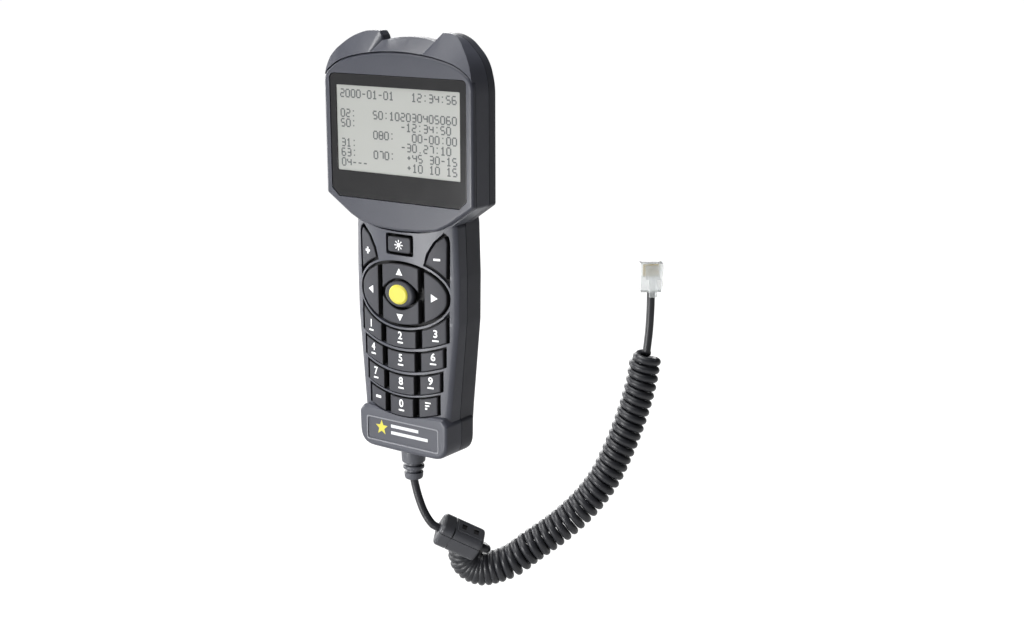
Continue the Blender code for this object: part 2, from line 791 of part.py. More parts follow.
def half_tube(name, outer, inner, length, side, stuff, edge=0.0):
    """Half of a tube along X, on the +Z (1) or -Z (-1) side of the split."""
    frame = ferrite_frame()
    half = length / 2
    body = rod(name, outer, (-half, 0, 0), (half, 0, 0), stuff, 24, frame, edge)
    cut(body, rod(name + "_bore", inner, (-half - 2, 0, 0), (half + 2, 0, 0), None, 16, frame))
    low, high = (-20, 0.15) if side > 0 else (-0.15, 20)
    cut(body, box(name + "_split", (-30, -30, low), (30, 30, high), None, frame))
    return body


def ferrite():
    frame = ferrite_frame()
    room = rod("core_room", 5.5, (-8.9, 0, 0), (8.9, 0, 0), None, 20, frame)
    lower = half_tube("ferrite_case", FERRITE_RADIUS, 2.1, FERRITE_LENGTH, -1, "ferrite_plastic", 1.6)
    upper = half_tube("ferrite_lid", FERRITE_RADIUS, 2.1, FERRITE_LENGTH, 1, "ferrite_plastic", 1.6)
    front = -FERRITE_RADIUS
    band = box("latch_band", (-7.4, front - 1.5, -3.4), (7.4, front - 0.2, 2.6), None, frame)
    root = box("latch_root", (-7.4, front - 1.5, 0.9), (7.4, front + 1.4, 2.6), None, frame)
    windows = [
        box(f"latch_window_{i}", (x - 1.6, front - 4, -2.2), (x + 1.6, front - 0.1, 0.4), None, frame)
        for i, x in enumerate((-3.8, 3.8), 1)
    ]
    join(upper, root, band)
    cut(upper, room, *windows)
    cut(lower, room)
    for name, side in (("ferrite_core_lower", -1), ("ferrite_core_upper", 1)):
        half_tube(name, 5.2, 2.4, 17.2, side, "ferrite_grey")


def plug():
    """A modular plug that points up: body, sprung latch and contact comb."""
    s = TAIL_ROUTE[-1][0]
    frame = CORD_FRAME @ Matrix.Translation((s * MM, 0, PLUG_BOTTOM * MM))
    body = box("plug_body", (-4.8, -2.6, 0), (4.8, 4.0, 12.3), "plug_clear", frame)
    cut(body, box("contact_room", (-4.0, 2.4, 6.0), (4.0, 9, 20), None, frame))
    comb = box("plug_contacts", (-3.4, 2.8, 6.4), (3.4, 3.2, 11.8), "gold", frame)
    for k in range(6):
        x = -3.1 + 1.02 * k + 0.55
        join(comb, box(f"contact_{k}", (x - 0.2, 3.0, 6.8), (x + 0.2, 3.9, 11.4), None, frame))
    tilt = frame @ Matrix.Translation((0, -2.9 * MM, 11.6 * MM)) @ Matrix.Rotation(math.radians(-12), 4, "X")
    latch = box("plug_latch", (-3.0, -0.9, -6.0), (3.0, 0, 0), "plug_clear", tilt)
    join(latch, box("latch_tail", (-1.7, -0.9, -13.5), (1.7, 0, -5.5), None, tilt))


# ---- The object ----

clear_scene()
PART = new_collection("hand_controller")
HELPERS = new_collection("cutters")
ROOM = cavity_cutters()
RELIEF_HOLE = relief_hole()
front_shell(ROOM, RELIEF_HOLE)
rear_shell(ROOM, RELIEF_HOLE)
screws()
badge()
display()
keys()
mat_and_board()
strain_relief()
cord()
ferrite()
plug()
bpy.context.view_layer.update()
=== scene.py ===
"""The look of a telescope's hand controller: a wide display head on a slim keypad grip, with a curly cord.

Lengths are in millimetres and become metres through MM. X is across the handset, Y runs from the keys
(negative) to the back, and Z runs up along the grip, with the origin in the neck below the display.
"""

import json
import math

import bmesh
import bpy
from mathutils import Matrix, Vector

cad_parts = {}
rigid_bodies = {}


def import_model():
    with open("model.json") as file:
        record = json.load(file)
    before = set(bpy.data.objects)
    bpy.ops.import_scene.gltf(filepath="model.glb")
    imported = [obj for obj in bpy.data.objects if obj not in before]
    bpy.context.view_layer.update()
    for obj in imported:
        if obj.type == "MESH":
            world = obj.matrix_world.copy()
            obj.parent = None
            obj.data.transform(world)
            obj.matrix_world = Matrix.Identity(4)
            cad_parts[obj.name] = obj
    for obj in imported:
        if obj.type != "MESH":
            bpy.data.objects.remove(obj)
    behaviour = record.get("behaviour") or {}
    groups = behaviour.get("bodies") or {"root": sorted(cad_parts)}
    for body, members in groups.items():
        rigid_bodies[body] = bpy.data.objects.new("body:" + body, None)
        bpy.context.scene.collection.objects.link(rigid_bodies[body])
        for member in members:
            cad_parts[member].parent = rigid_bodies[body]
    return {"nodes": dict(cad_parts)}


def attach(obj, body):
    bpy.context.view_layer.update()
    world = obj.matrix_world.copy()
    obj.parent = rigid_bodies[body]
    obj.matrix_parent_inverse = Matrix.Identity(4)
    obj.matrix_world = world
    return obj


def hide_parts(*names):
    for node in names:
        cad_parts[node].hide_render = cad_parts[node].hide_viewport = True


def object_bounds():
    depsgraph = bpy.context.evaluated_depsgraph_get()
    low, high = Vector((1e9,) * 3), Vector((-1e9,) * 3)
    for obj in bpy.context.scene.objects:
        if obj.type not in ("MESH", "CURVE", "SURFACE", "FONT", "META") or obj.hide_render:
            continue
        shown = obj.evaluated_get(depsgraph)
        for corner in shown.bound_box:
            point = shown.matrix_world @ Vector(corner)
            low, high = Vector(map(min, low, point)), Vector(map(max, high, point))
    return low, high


MM = 0.001
GAP = 0.3  # between two parts that only just meet

# Depths, along Y
FASCIA_FRONT = -11.0
FASCIA_BACK = -8.9
HEAD_FRONT = -8.6
KEYPAD_FACE = -10.5
KEYPAD_STILL = -0.5  # behind this depth the grip's outline stays straight
CROWN_RADIUS = 80.0  # of the keypad's face, which is rounded across its width
FOOT_FRONT = -10.6
HEAD_BACK = 5.2
GRIP_BACK = 12.0
FOOT_BACK = 9.5
WEB_FRONT, WEB_BACK = -6.9, -2.7  # the rubber mat between and behind the keys, near-black also as painted shade in the gaps
WALL = 1.8  # how thick the casing is

# Heights, along Z, and half widths
HEAD_TOP = 77.2
HEAD_HALF_WIDTH = 38.9
SHOULDER = 8.8
CHIN = -4.2
FOOT_TOP = -84.0
FOOT_BOTTOM = -101.2
FOOT_HALF_WIDTH = 24.0

# Display
LENS_HALF_WIDTH = 35.75
LENS_TOP, LENS_BOTTOM = 59.9, 7.9
LCD_MIDDLE = 37.1
LCD_SIZE = (64.8, 35.8)
SCREEN_FRONT = -10.3
READOUT_SIZE = (61.5, 33.0)
READOUT_LEFT = -30.5
CELL = (6, 8)  # the dots across and down of one sign, with its spaces

# Keypad
PAD_CENTRE = -31.0
PAD_HALF = (24.0, 14.3)  # the ellipse that the four arrow keys fill
EYE_HALF = (9.9, 5.6)  # the eye-shaped gap in its middle, for the enter key
PAD_GAP_X = 11.0  # from the middle to the slots beside the upper and lower arrow keys
SLOT = 2.3  # how wide the slots between two keys are
RIB = 0.9  # the rib round the arrow keys
CLEARANCE = 1.3  # from a key's cap to the side of its opening
BELOW_RIB = 0.75  # from a rib to the number key under it
ABOVE_RIB = 0.3  # from a rib to the number key over it
SMILE = 0.009  # how the number rows rise towards both sides, by this times x squared
ROW_MIDDLES = (-49.9, -60.1, -70.3, -80.2)
ROW_HALF = 4.6
KEY_FRONT = -10.8
KEY_OPENING = (-14, -5)  # the depths that a key's opening is cut between
ARROWS = {  # x, z and the quarter turns clockwise from pointing up
    "key_up": (0, -21.5, 0),
    "key_right": (16.9, -31, 1),
    "key_down": (0, -40.9, 2),
    "key_left": (-16.9, -31, 3),
}
DIGIT_COLUMNS = (17.4, 16.2, 14.9, 13.5)  # from the middle to the outer digits, row by row
DIGIT_SIZE = 4.6

BADGE_MIDDLE = (0, -92.7)
BADGE_SEAT = FOOT_FRONT + 0.75
CASE_SCREWS = ((-28.6, 63.4), (28.6, 63.4), (-15.0, -93.6), (15.0, -93.6))

# Cord. Its routes lie in an upright plane through the strain relief: distance from the relief, depth
# behind the plane, height
CORD_Y = -3.0
CORD_PLANE = math.radians(39.3)
WIRE_RADIUS = 1.75
FIRST_TURN_RADIUS, LAST_TURN_RADIUS = 5.9, 5.1
COIL_PITCH = 3.75
TIGHT_STRETCH = 13  # the length of route whose turns are twice as close, and over which they then ease
RELIEF_BOTTOM = -114.5
FERRITE_MIDDLE = (19.8, -5.0, -141.0)
FERRITE_SLOPE = math.radians(-27)
FERRITE_LENGTH = 21.0
FERRITE_WIDTH = 12.1
CORE_ROOM_RADIUS, CORE_ROOM_HALF = 5.5, 8.9
HALF_SPLIT = 0.12
FERRITE_ROLL = math.radians(23)
LATCH_WINDOWS = (-0.8, 4.9)
LEAD_ROUTE = (
    (0.0, 0.0, RELIEF_BOTTOM - GAP),
    (0.6, -0.2, -118.0),
    (1.9, -1.2, -123.2),
    (4.2, -2.9, -129.4),
    (7.3, -4.5, -134.2),
    (10.4, -5.0, -136.2),
    (19.8, -5.0, -141.0),
    (29.2, -5.0, -145.8),
    (30.6, -4.8, -146.7),
    (31.6, -3.0, -147.6),
    (31.2, 0.6, -148.3),
    (29.2, 5.2, -148.8),
)
COIL_ROUTE = (
    (21.7, 4.9, -150.3),
    (22.4, 4.7, -154.4),
    (25.8, 4.0, -158.2),
    (31.8, 2.8, -159.3),
    (42.5, 1.4, -155.4),
    (51.5, 0.6, -148.5),
    (63.3, 0.0, -139.8),
    (72.9, 0.0, -131.2),
    (80.0, 0.0, -122.8),
    (84.8, 0.0, -115.3),
    (88.2, 0.0, -108.0),
    (92.0, 0.0, -98.7),
    (96.4, 0.0, -85.5),
    (99.6, 0.0, -72.5),
    (101.4, 0.0, -60.0),
)
TAIL_ROUTE = (
    (101.5, 0.0, -59.6),
    (102.4, 0.0, -50.0),
    (102.8, 0.0, -40.0),
    (102.8, 0.0, -33.0),
)

# Camera, floor and light, in metres
CAMERA_PLACE = (0.3997, -0.4997, 0.1113)
CAMERA_TARGET = (0.032, 0.026, -0.045)
CAMERA_LENS = 54  # its focal length, in millimetres
LIGHT_TARGET = (0.03, 0.0, -0.03)
FLOOR_DROP = 0.03

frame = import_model()
CAD_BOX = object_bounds()
HELPERS = bpy.data.collections.new("cutters")
bpy.context.scene.collection.children.link(HELPERS)
HELPERS.hide_render = True


# ---- Materials ----


def nodes_of(name):
    made = bpy.data.materials.new(name)
    made.use_nodes = True
    tree = made.node_tree
    return made, tree, tree.nodes["Principled BSDF"]


def noise(tree, coordinates, size, detail=3.0):
    """A noise texture whose features are size millimetres across."""
    texture = tree.nodes.new("ShaderNodeTexNoise")
    texture.inputs["Scale"].default_value = 1 / (size * MM)
    texture.inputs["Detail"].default_value = detail
    tree.links.new(coordinates.outputs["Object"], texture.inputs["Vector"])
    return texture


def ramp(tree, value, low, high):
    """Maps a value between 0 and 1 onto low to high."""
    made = tree.nodes.new("ShaderNodeMapRange")
    made.inputs["To Min"].default_value = low
    made.inputs["To Max"].default_value = high
    tree.links.new(value, made.inputs["Value"])
    return made.outputs["Result"]


def finish_of(
    name, colour, roughness, grain=0.35, grain_size=0.35, speckle=0.08, metallic=0.0, coat=0.0, shine=0.5
):
    """A moulded or coated surface: fine grain in the relief, and a slight unevenness of colour and gloss."""
    made, tree, shader = nodes_of(name)
    coordinates = tree.nodes.new("ShaderNodeTexCoord")
    shader.inputs["Metallic"].default_value = metallic
    shader.inputs["Specular IOR Level"].default_value = shine
    shader.inputs["Coat Weight"].default_value = coat
    shader.inputs["Coat Roughness"].default_value = 0.08

    patches = noise(tree, coordinates, 9.0)
    fine = noise(tree, coordinates, grain_size, 5.0)
    mixed = tree.nodes.new("ShaderNodeMix")
    mixed.data_type = "RGBA"
    mixed.inputs["A"].default_value = (*(c * (1 - speckle) for c in colour), 1)
    mixed.inputs["B"].default_value = (*(min(1, c * (1 + speckle)) for c in colour), 1)
    tree.links.new(fine.outputs["Fac"], mixed.inputs["Factor"])
    tree.links.new(mixed.outputs["Result"], shader.inputs["Base Color"])

    gloss = ramp(tree, patches.outputs["Fac"], max(0.02, roughness - 0.05), roughness + 0.05)
    tree.links.new(gloss, shader.inputs["Roughness"])

    relief = tree.nodes.new("ShaderNodeBump")
    relief.inputs["Strength"].default_value = grain
    relief.inputs["Distance"].default_value = 0.05 * MM
    tree.links.new(fine.outputs["Fac"], relief.inputs["Height"])
    tree.links.new(relief.outputs["Normal"], shader.inputs["Normal"])
    return made


def clear_finish(name, colour, roughness):
    """Clear moulded plastic, for the plug."""
    made, tree, shader = nodes_of(name)
    coordinates = tree.nodes.new("ShaderNodeTexCoord")
    shader.inputs["Base Color"].default_value = (*colour, 1)
    shader.inputs["Transmission Weight"].default_value = 0.75
    shader.inputs["IOR"].default_value = 1.5
    haze = ramp(tree, noise(tree, coordinates, 3.0).outputs["Fac"], roughness, roughness + 0.15)
    tree.links.new(haze, shader.inputs["Roughness"])
    return made


BODY = finish_of("body_plastic", (0.05, 0.053, 0.068), 0.42, 0.5, 0.45, 0.1)
# Darker than the body plastic, partly to paint the shade on the handset's sides
REAR_WITH_SHADE = finish_of("rear_plastic_and_painted_shade", (0.031, 0.033, 0.043), 0.5, 0.6, 0.5, 0.1)
FASCIA = finish_of("fascia_plastic", (0.04, 0.0425, 0.056), 0.36, 0.5, 0.45, 0.1)
KEY = finish_of("key_rubber", (0.027, 0.028, 0.0355), 0.55, 0.5, 0.5, 0.1, shine=0.36)
YELLOW = finish_of("yellow_rubber", (0.545, 0.49, 0.045), 0.4, 0.15, 0.6, 0.03)
LENS = finish_of("lens_acrylic", (0.0155, 0.0155, 0.0163), 0.2, 0.05, 0.5, 0.03, coat=0.2, shine=0.3)
SCREEN = finish_of("lcd_glass", (0.315, 0.323, 0.305), 0.3, 0.05, 0.6, 0.015, coat=0.4)
DOTS = finish_of("lcd_dots", (0.07, 0.075, 0.08), 0.4, 0.05, 0.6, 0.03)
INK = finish_of("white_ink", (0.84, 0.85, 0.86), 0.45, 0.1, 0.5, 0.02)
STEEL = finish_of("steel", (0.55, 0.55, 0.57), 0.32, 0.2, 0.3, 0.05, metallic=1.0)
# Near-black: the keypad mat's rubber, and painted shade on the keys' sides, in the gaps between keys and in
# the ferrite's latch windows
MAT_AND_SHADE_BLACK = finish_of("mat_silicone", (0.006, 0.006, 0.007), 0.7, 0.3, 0.5, 0.1)
BOARD = finish_of("board_green", (0.03, 0.16, 0.07), 0.4, 0.2, 0.8, 0.1)
CHIP = finish_of("chip_black", (0.02, 0.02, 0.022), 0.4, 0.2, 0.3, 0.1)
NYLON = finish_of("header_nylon", (0.75, 0.73, 0.66), 0.5, 0.2, 0.4, 0.05)
GUIDE = finish_of("light_guide", (0.85, 0.86, 0.84), 0.3, 0.1, 0.6, 0.02)
BADGE = finish_of("badge_film", (0.046, 0.0485, 0.062), 0.34, 0.2, 0.5, 0.05)
RIM = finish_of("rim_plastic", (0.2, 0.205, 0.225), 0.4, 0.3, 0.4, 0.08)
SILVER = finish_of("badge_ink", (0.62, 0.63, 0.65), 0.35, 0.1, 0.5, 0.02)
RELIEF = finish_of("relief_rubber", (0.068, 0.071, 0.084), 0.45, 0.4, 0.4, 0.1)
FERRITE = finish_of("ferrite_plastic", (0.042, 0.0435, 0.05), 0.42, 0.5, 0.4, 0.1)
CORE = finish_of("ferrite_grey", (0.05, 0.05, 0.05), 0.7, 0.4, 0.3, 0.15)
JACKET = finish_of("cord_jacket", (0.016, 0.0168, 0.0205), 0.42, 0.3, 0.5, 0.08)
CLEAR = clear_finish("plug_clear", (0.93, 0.95, 0.95), 0.08)
GOLD = finish_of("gold", (0.9, 0.68, 0.25), 0.25, 0.1, 0.4, 0.03, metallic=1.0)

CAD_FINISHES = {
    "lcd_bezel": STEEL,
    "lcd_glass": SCREEN,
    "lcd_light_guide": GUIDE,
    "keypad_mat": MAT_AND_SHADE_BLACK,
    "main_board": BOARD,
    "processor": CHIP,
    "cord_header": NYLON,
    "ferrite_core_lower": CORE,
    "ferrite_core_upper": CORE,
    "plug_body": CLEAR,
    "plug_latch": CLEAR,
    "plug_contacts": GOLD,
    **{f"case_screw_{i}": STEEL for i in (1, 2, 3, 4)},
    **{f"board_screw_{i}": STEEL for i in (1, 2)},
}
for node, stuff in CAD_FINISHES.items():
    slots = frame["nodes"][node].data.materials
    for i in range(len(slots)):
        slots[i] = stuff


# ---- Camera, floor and light ----


def look_from(obj, place, target):
    obj.location = place
    obj.rotation_euler = (Vector(target) - Vector(place)).to_track_quat("-Z", "Y").to_euler()


def camera():
    data = bpy.data.cameras.new("camera")
    made = bpy.data.objects.new("camera", data)
    bpy.context.scene.collection.objects.link(made)
    data.lens = CAMERA_LENS
    data.clip_start = 0.02
    look_from(made, CAMERA_PLACE, CAMERA_TARGET)
    bpy.context.scene.camera = made


def lamp(name, place, target, size, power):
    data = bpy.data.lights.new(name, "AREA")
    data.shape = "RECTANGLE"
    data.size, data.size_y = size
    data.energy = power
    made = bpy.data.objects.new(name, data)
    bpy.context.scene.collection.objects.link(made)
    look_from(made, place, target)
    made.visible_camera = False


def overhead():
    data = bpy.data.lights.new("overhead", "SUN")
    data.energy = 2.7
    data.angle = math.radians(50)
    made = bpy.data.objects.new("overhead", data)
    bpy.context.scene.collection.objects.link(made)
    look_from(made, (-0.2, -0.35, 1.1), (0, 0, 0))


def white_world():
    """White to the eye, and dim as a light, so that the object's sides keep their depth."""
    world = bpy.data.worlds.new("studio")
    bpy.context.scene.world = world
    world.use_nodes = True
    tree = world.node_tree
    rays = tree.nodes.new("ShaderNodeLightPath")
    strength = ramp(tree, rays.outputs["Is Camera Ray"], 0.06, 1.08)
    tree.links.new(strength, tree.nodes["Background"].inputs["Strength"])
    tree.nodes["Background"].inputs["Color"].default_value = (1, 1, 1, 1)


def floor_finish():
    """White to the eye, and a mid grey as a reflector."""
    made, tree, shader = nodes_of("floor_white")
    coordinates = tree.nodes.new("ShaderNodeTexCoord")
    tone = ramp(tree, noise(tree, coordinates, 900).outputs["Fac"], 0.48, 0.52)
    tree.links.new(tone, shader.inputs["Base Color"])
    shader.inputs["Roughness"].default_value = 0.7
    glow = tree.nodes.new("ShaderNodeEmission")
    glow.inputs["Strength"].default_value = 1.25
    rays = tree.nodes.new("ShaderNodeLightPath")
    share = ramp(tree, rays.outputs["Is Camera Ray"], 0.0, 0.72)
    mixed = tree.nodes.new("ShaderNodeMixShader")
    tree.links.new(share, mixed.inputs["Fac"])
    tree.links.new(shader.outputs["BSDF"], mixed.inputs[1])
    tree.links.new(glow.outputs["Emission"], mixed.inputs[2])
    tree.links.new(mixed.outputs["Shader"], tree.nodes["Material Output"].inputs["Surface"])
    return made


def studio():
    bm = bmesh.new()
    bmesh.ops.create_grid(bm, x_segments=1, y_segments=1, size=60)
    mesh = bpy.data.meshes.new("floor")
    bm.to_mesh(mesh)
    bm.free()
    mesh.materials.append(floor_finish())
    floor = bpy.data.objects.new("floor", mesh)
    floor.location = (0, 0, CAD_BOX[0].z - FLOOR_DROP)
    bpy.context.scene.collection.objects.link(floor)

    white_world()
    bpy.context.scene.view_settings.view_transform = "Standard"
    overhead()
    lamp("front_light", (-0.16, -0.55, -0.13), LIGHT_TARGET, (0.2, 0.16), 3.1)
    lamp("key_light", (-0.55, -0.85, 0.55), LIGHT_TARGET, (0.5, 0.5), 2.6)
    lamp("top_light", (-0.12, 0.1, 0.62), (0.02, 0, 0.05), (0.3, 0.3), 2.6)
    lamp("rim_light", (-0.85, -0.12, 0.0), LIGHT_TARGET, (0.4, 0.6), 5.0)
    lamp("back_light", (-0.75, 0.7, 0.25), LIGHT_TARGET, (0.6, 0.6), 9.0)


camera()
studio()


# ---- Helpers ----


def between(start, end, count):
    return [start + (end - start) * k / (count - 1) for k in range(count)]


def link(name, mesh, stuff, matrix=None):
    """An object of the model, or a hidden cutter when stuff is None."""
    obj = bpy.data.objects.new(name, mesh)
    if matrix is not None:
        obj.matrix_world = matrix
    (HELPERS if stuff is None else bpy.context.scene.collection).objects.link(obj)
    if stuff is None:
        obj.hide_render = True
    else:
        mesh.materials.append(stuff)
    return obj


def finished(name, bm, stuff, matrix=None, angle=35):
    mesh = bpy.data.meshes.new(name)
    bm.to_mesh(mesh)
    bm.free()
    mesh.shade_smooth()
    mesh.set_sharp_from_angle(angle=math.radians(angle))
    return link(name, mesh, stuff, matrix)


def change(target, operation, *others):
    for other in others:
        boolean = target.modifiers.new(other.name, "BOOLEAN")
        boolean.operation = operation
        boolean.solver = "MANIFOLD"
        boolean.object = other


def cut(target, *others):
    change(target, "DIFFERENCE", *others)


def join(target, *others):
    change(target, "UNION", *others)


def soften(target, width, segments=2, angle=40):
    """Rounds the edges that are sharper than angle."""
    weld = target.modifiers.new("clean_cuts", "WELD")
    weld.merge_threshold = 0.015 * MM
    bevel = target.modifiers.new("soft_edges", "BEVEL")
    bevel.width = width * MM
    bevel.segments = segments
    bevel.limit_method = "ANGLE"
    bevel.angle_limit = math.radians(angle)
    bevel.use_clamp_overlap = True
    bevel.miter_outer = "MITER_ARC"
    bevel.harden_normals = False
    return target


def box(name, low, high, stuff=None, matrix=None):
    low, high = Vector(low) * MM, Vector(high) * MM
    bm = bmesh.new()
    bmesh.ops.create_cube(bm, size=1)
    bmesh.ops.scale(bm, vec=high - low, verts=bm.verts)
    bmesh.ops.translate(bm, vec=(low + high) / 2, verts=bm.verts)
    return finished(name, bm, stuff, matrix)


def rod(name, radius, start, end, stuff=None, sides=48, matrix=None):
    start, end = Vector(start) * MM, Vector(end) * MM
    along = end - start
    turn = along.to_track_quat("Z", "Y").to_matrix().to_4x4()
    place = Matrix.Translation((start + end) / 2) @ turn
    bm = bmesh.new()
    bmesh.ops.create_cone(
        bm,
        cap_ends=True,
        segments=sides,
        radius1=radius * MM,
        radius2=radius * MM,
        depth=along.length,
        matrix=place,
    )
    return finished(name, bm, stuff, matrix)


def plate_mesh(outline, front, back, edge=0.0, grow=0.0, steps=3, holes=()):
    """A bmesh of an outline in X and Z, extruded along Y, with its rims rounded by edge."""
    curve = bpy.data.curves.new("plate", "CURVE")
    curve.dimensions = "2D"
    curve.fill_mode = "BOTH"
    curve.extrude = ((back - front) / 2 - edge) * MM
    curve.bevel_depth = edge * MM
    curve.bevel_resolution = steps
    curve.offset = (grow - edge) * MM
    for points in (outline, *holes):
        spline = curve.splines.new("POLY")
        spline.points.add(len(points) - 1)
        for point, (x, z) in zip(spline.points, points):
            point.co = (x * MM, z * MM, 0, 1)
        spline.use_cyclic_u = True
    guide = bpy.data.objects.new("plate_outline", curve)
    HELPERS.objects.link(guide)
    bpy.context.view_layer.update()
    graph = bpy.context.evaluated_depsgraph_get()
    mesh = bpy.data.meshes.new_from_object(guide.evaluated_get(graph))
    bpy.data.objects.remove(guide)
    bm = bmesh.new()
    bm.from_mesh(mesh)
    bpy.data.meshes.remove(mesh)
    bmesh.ops.remove_doubles(bm, verts=bm.verts, dist=1e-6)
    bmesh.ops.recalc_face_normals(bm, faces=bm.faces)
    upright = Matrix.Rotation(math.pi / 2, 4, "X")
    middle = Matrix.Translation((0, (front + back) / 2 * MM, 0))
    bmesh.ops.transform(bm, matrix=middle @ upright, verts=bm.verts)
    return bm


def plate(name, outline, front, back, stuff=None, edge=0.0, grow=0.0, steps=3, holes=()):
    return finished(name, plate_mesh(outline, front, back, edge, grow, steps, holes), stuff)


def turned(name, profile, stuff, matrix, sides=64):
    """A solid of revolution about Z, from a closed profile of (radius, height)."""
    bm = bmesh.new()
    rings = []
    for k in range(sides):
        across, away = math.cos(2 * math.pi * k / sides), math.sin(2 * math.pi * k / sides)
        rings.append([bm.verts.new((r * across * MM, r * away * MM, z * MM)) for r, z in profile])
    for here, beyond in zip(rings, rings[1:] + rings[:1]):
        for i in range(len(profile)):
            j = (i + 1) % len(profile)
            bm.faces.new((here[i], beyond[i], beyond[j], here[j]))
    bmesh.ops.recalc_face_normals(bm, faces=bm.faces)
    return finished(name, bm, stuff, matrix)


# ---- Outlines ----


def rounded(corners, steps=8):
    """The (x, z) points of a polygon whose corners are (x, z, radius)."""
    points = []
    for i, (x, z, radius) in enumerate(corners):
        here = Vector((x, z))
        if not radius:
            points.append(tuple(here))
            continue
        before = Vector(corners[i - 1][:2]) - here
        after = Vector(corners[(i + 1) % len(corners)][:2]) - here
        half = before.angle(after) / 2
        reach = min(radius / math.tan(half), 0.49 * before.length, 0.49 * after.length)
        start, end = here + before.normalized() * reach, here + after.normalized() * reach
        for k in range(steps + 1):
            t = k / steps
            points.append(tuple(start * (1 - t) ** 2 + here * 2 * t * (1 - t) + end * t * t))
    return points


def mirrored(half):
    """The corners of the right half of an outline, and their mirror images on the left."""
    left = [(-x, z, radius) for x, z, radius in reversed(half) if x > 0]
    return [*half, *left]


def rotated(points, angle):
    """Points in X and Z, turned about the origin by angle."""
    c, s = math.cos(angle), math.sin(angle)
    return [(x * c - z * s, x * s + z * c) for x, z in points]


def rectangle(middle, size, radius):
    (x, z), (width, height) = middle, size
    right, top = x + width / 2, z + height / 2
    left, bottom = x - width / 2, z - height / 2
    return [(right, top, radius), (right, bottom, radius), (left, bottom, radius), (left, top, radius)]


def smile(x, middle):
    """The height at x of a curved line of the number rows that crosses the middle at this height."""
    return middle + SMILE * x * x


def pad_edge(x, grow, side):
    """The height of the arrow pad's ellipse at x, on its upper (1) or lower (-1) side."""
    wide, high = PAD_HALF[0] + grow, PAD_HALF[1] + grow
    return PAD_CENTRE + side * high * math.sqrt(max(0.0, 1 - (x / wide) ** 2))


def eye_edge(x, grow, side):
    """The height of the eye-shaped gap's edge at x, on its upper (1) or lower (-1) side."""
    wide, high = EYE_HALF[0] + grow, EYE_HALF[1] + grow
    return PAD_CENTRE + side * high * (1 - (x / wide) ** 2)


def keypad_half_width(z):
    """From the middle to the sides of the number rows' openings, at the height z."""
    return 26.2 - 0.142 * (PAD_CENTRE - z)


def strip(left, right, top, bottom, count=9):
    """The outline between two curves, each a function of x."""
    xs = between(left, right, count)
    return [(x, top(x)) for x in xs] + [(x, bottom(x)) for x in reversed(xs)]


def row_top(row, grow):
    if row == 0:
        return lambda x: pad_edge(x, RIB - grow, -1)
    return lambda x: smile(x, ROW_MIDDLES[row] + ROW_HALF + grow)


def row_bottom(row, grow):
    return lambda x: smile(x, ROW_MIDDLES[row] - ROW_HALF - grow)


def oval(middle, half, count=64):
    (x, z), (wide, high) = middle, half
    turns = [2 * math.pi * k / count for k in range(count)]
    return [(x + wide * math.cos(a), z - high * math.sin(a)) for a in turns]


HEAD_HALF = [
    (0, 75.2, 0),
    (5.0, 74.95, 0),
    (10.0, 74.2, 0),
    (14.4, 73.3, 0),
    (15.2, 75.4, 0.6),
    (16.6, HEAD_TOP, 1.0),
    (22.4, HEAD_TOP, 12),
    (28.2, 74.9, 30),
    (36.2, 67.3, 30),
    (HEAD_HALF_WIDTH, 57.4, 30),
    (HEAD_HALF_WIDTH, SHOULDER, 1.5),
    (26.2, 0.0, 1.5),
    (21.0, -1.5, 0),
]
HEAD_OUTLINE = rounded(mirrored(HEAD_HALF))
HEAD_ROOM = rounded(rectangle((0, 34), (72, 50), 3))
GRIP_SIDE = [(27.5, -22.0, 20), (27.2, -42.0, 20), (23.5, -80.0, 6)]
GRIP_OUTLINE = rounded(mirrored([(22.6, 6.0, 0), (26.8, -0.6, 3), *GRIP_SIDE, (22.6, -92.0, 3)]))
GRIP_BACK_OUTLINE = rounded(mirrored([(26.7, 6.0, 7), *GRIP_SIDE, (22.6, -92.0, 6)]))
FOOT_OUTLINE = rounded(
    mirrored(
        [
            (21.4, FOOT_TOP + 1.5, 2),
            (FOOT_HALF_WIDTH, FOOT_TOP - 1.5, 2),
            (FOOT_HALF_WIDTH - 0.3, FOOT_BOTTOM + 0.3, 8.5),
            (0, FOOT_BOTTOM, 0),
        ]
    )
)
# The seam above the display, from the middle to the corner
BROW = ((0, 69.6), (6.5, 69.45), (13.0, 68.9), (19.0, 68.05), (25.0, 66.8), (29.0, 65.6), (32.6, 64.0))
CORNER = ((35.9, 61.7), (37.4, 60.3), (38.4, 58.5), (38.9, 56.2))
SEAM = 0.16
FASCIA_OUTLINE = rounded(
    mirrored(
        [
            *((x, z, 0) for x, z in BROW),
            (38.9, 59.6, 7.0),
            (38.9, SHOULDER + 0.2, 1.5),
            (26.0, 0.6, 1.5),
            (20.0, -2.3, 6),
            (10.0, -3.8, 6),
            (0, CHIN, 0),
        ]
    )
)
LENS_OUTLINE = rounded(
    mirrored(
        [
            (LENS_HALF_WIDTH, LENS_TOP, 2.5),
            (LENS_HALF_WIDTH, LENS_BOTTOM + 3.4, 0.6),
            (LENS_HALF_WIDTH - 3.8, LENS_BOTTOM, 0.6),
        ]
    )
)


# ---- Cord ----

CORD_FRAME = Matrix.Translation((0, CORD_Y * MM, 0)) @ Matrix.Rotation(CORD_PLANE, 4, "Z")


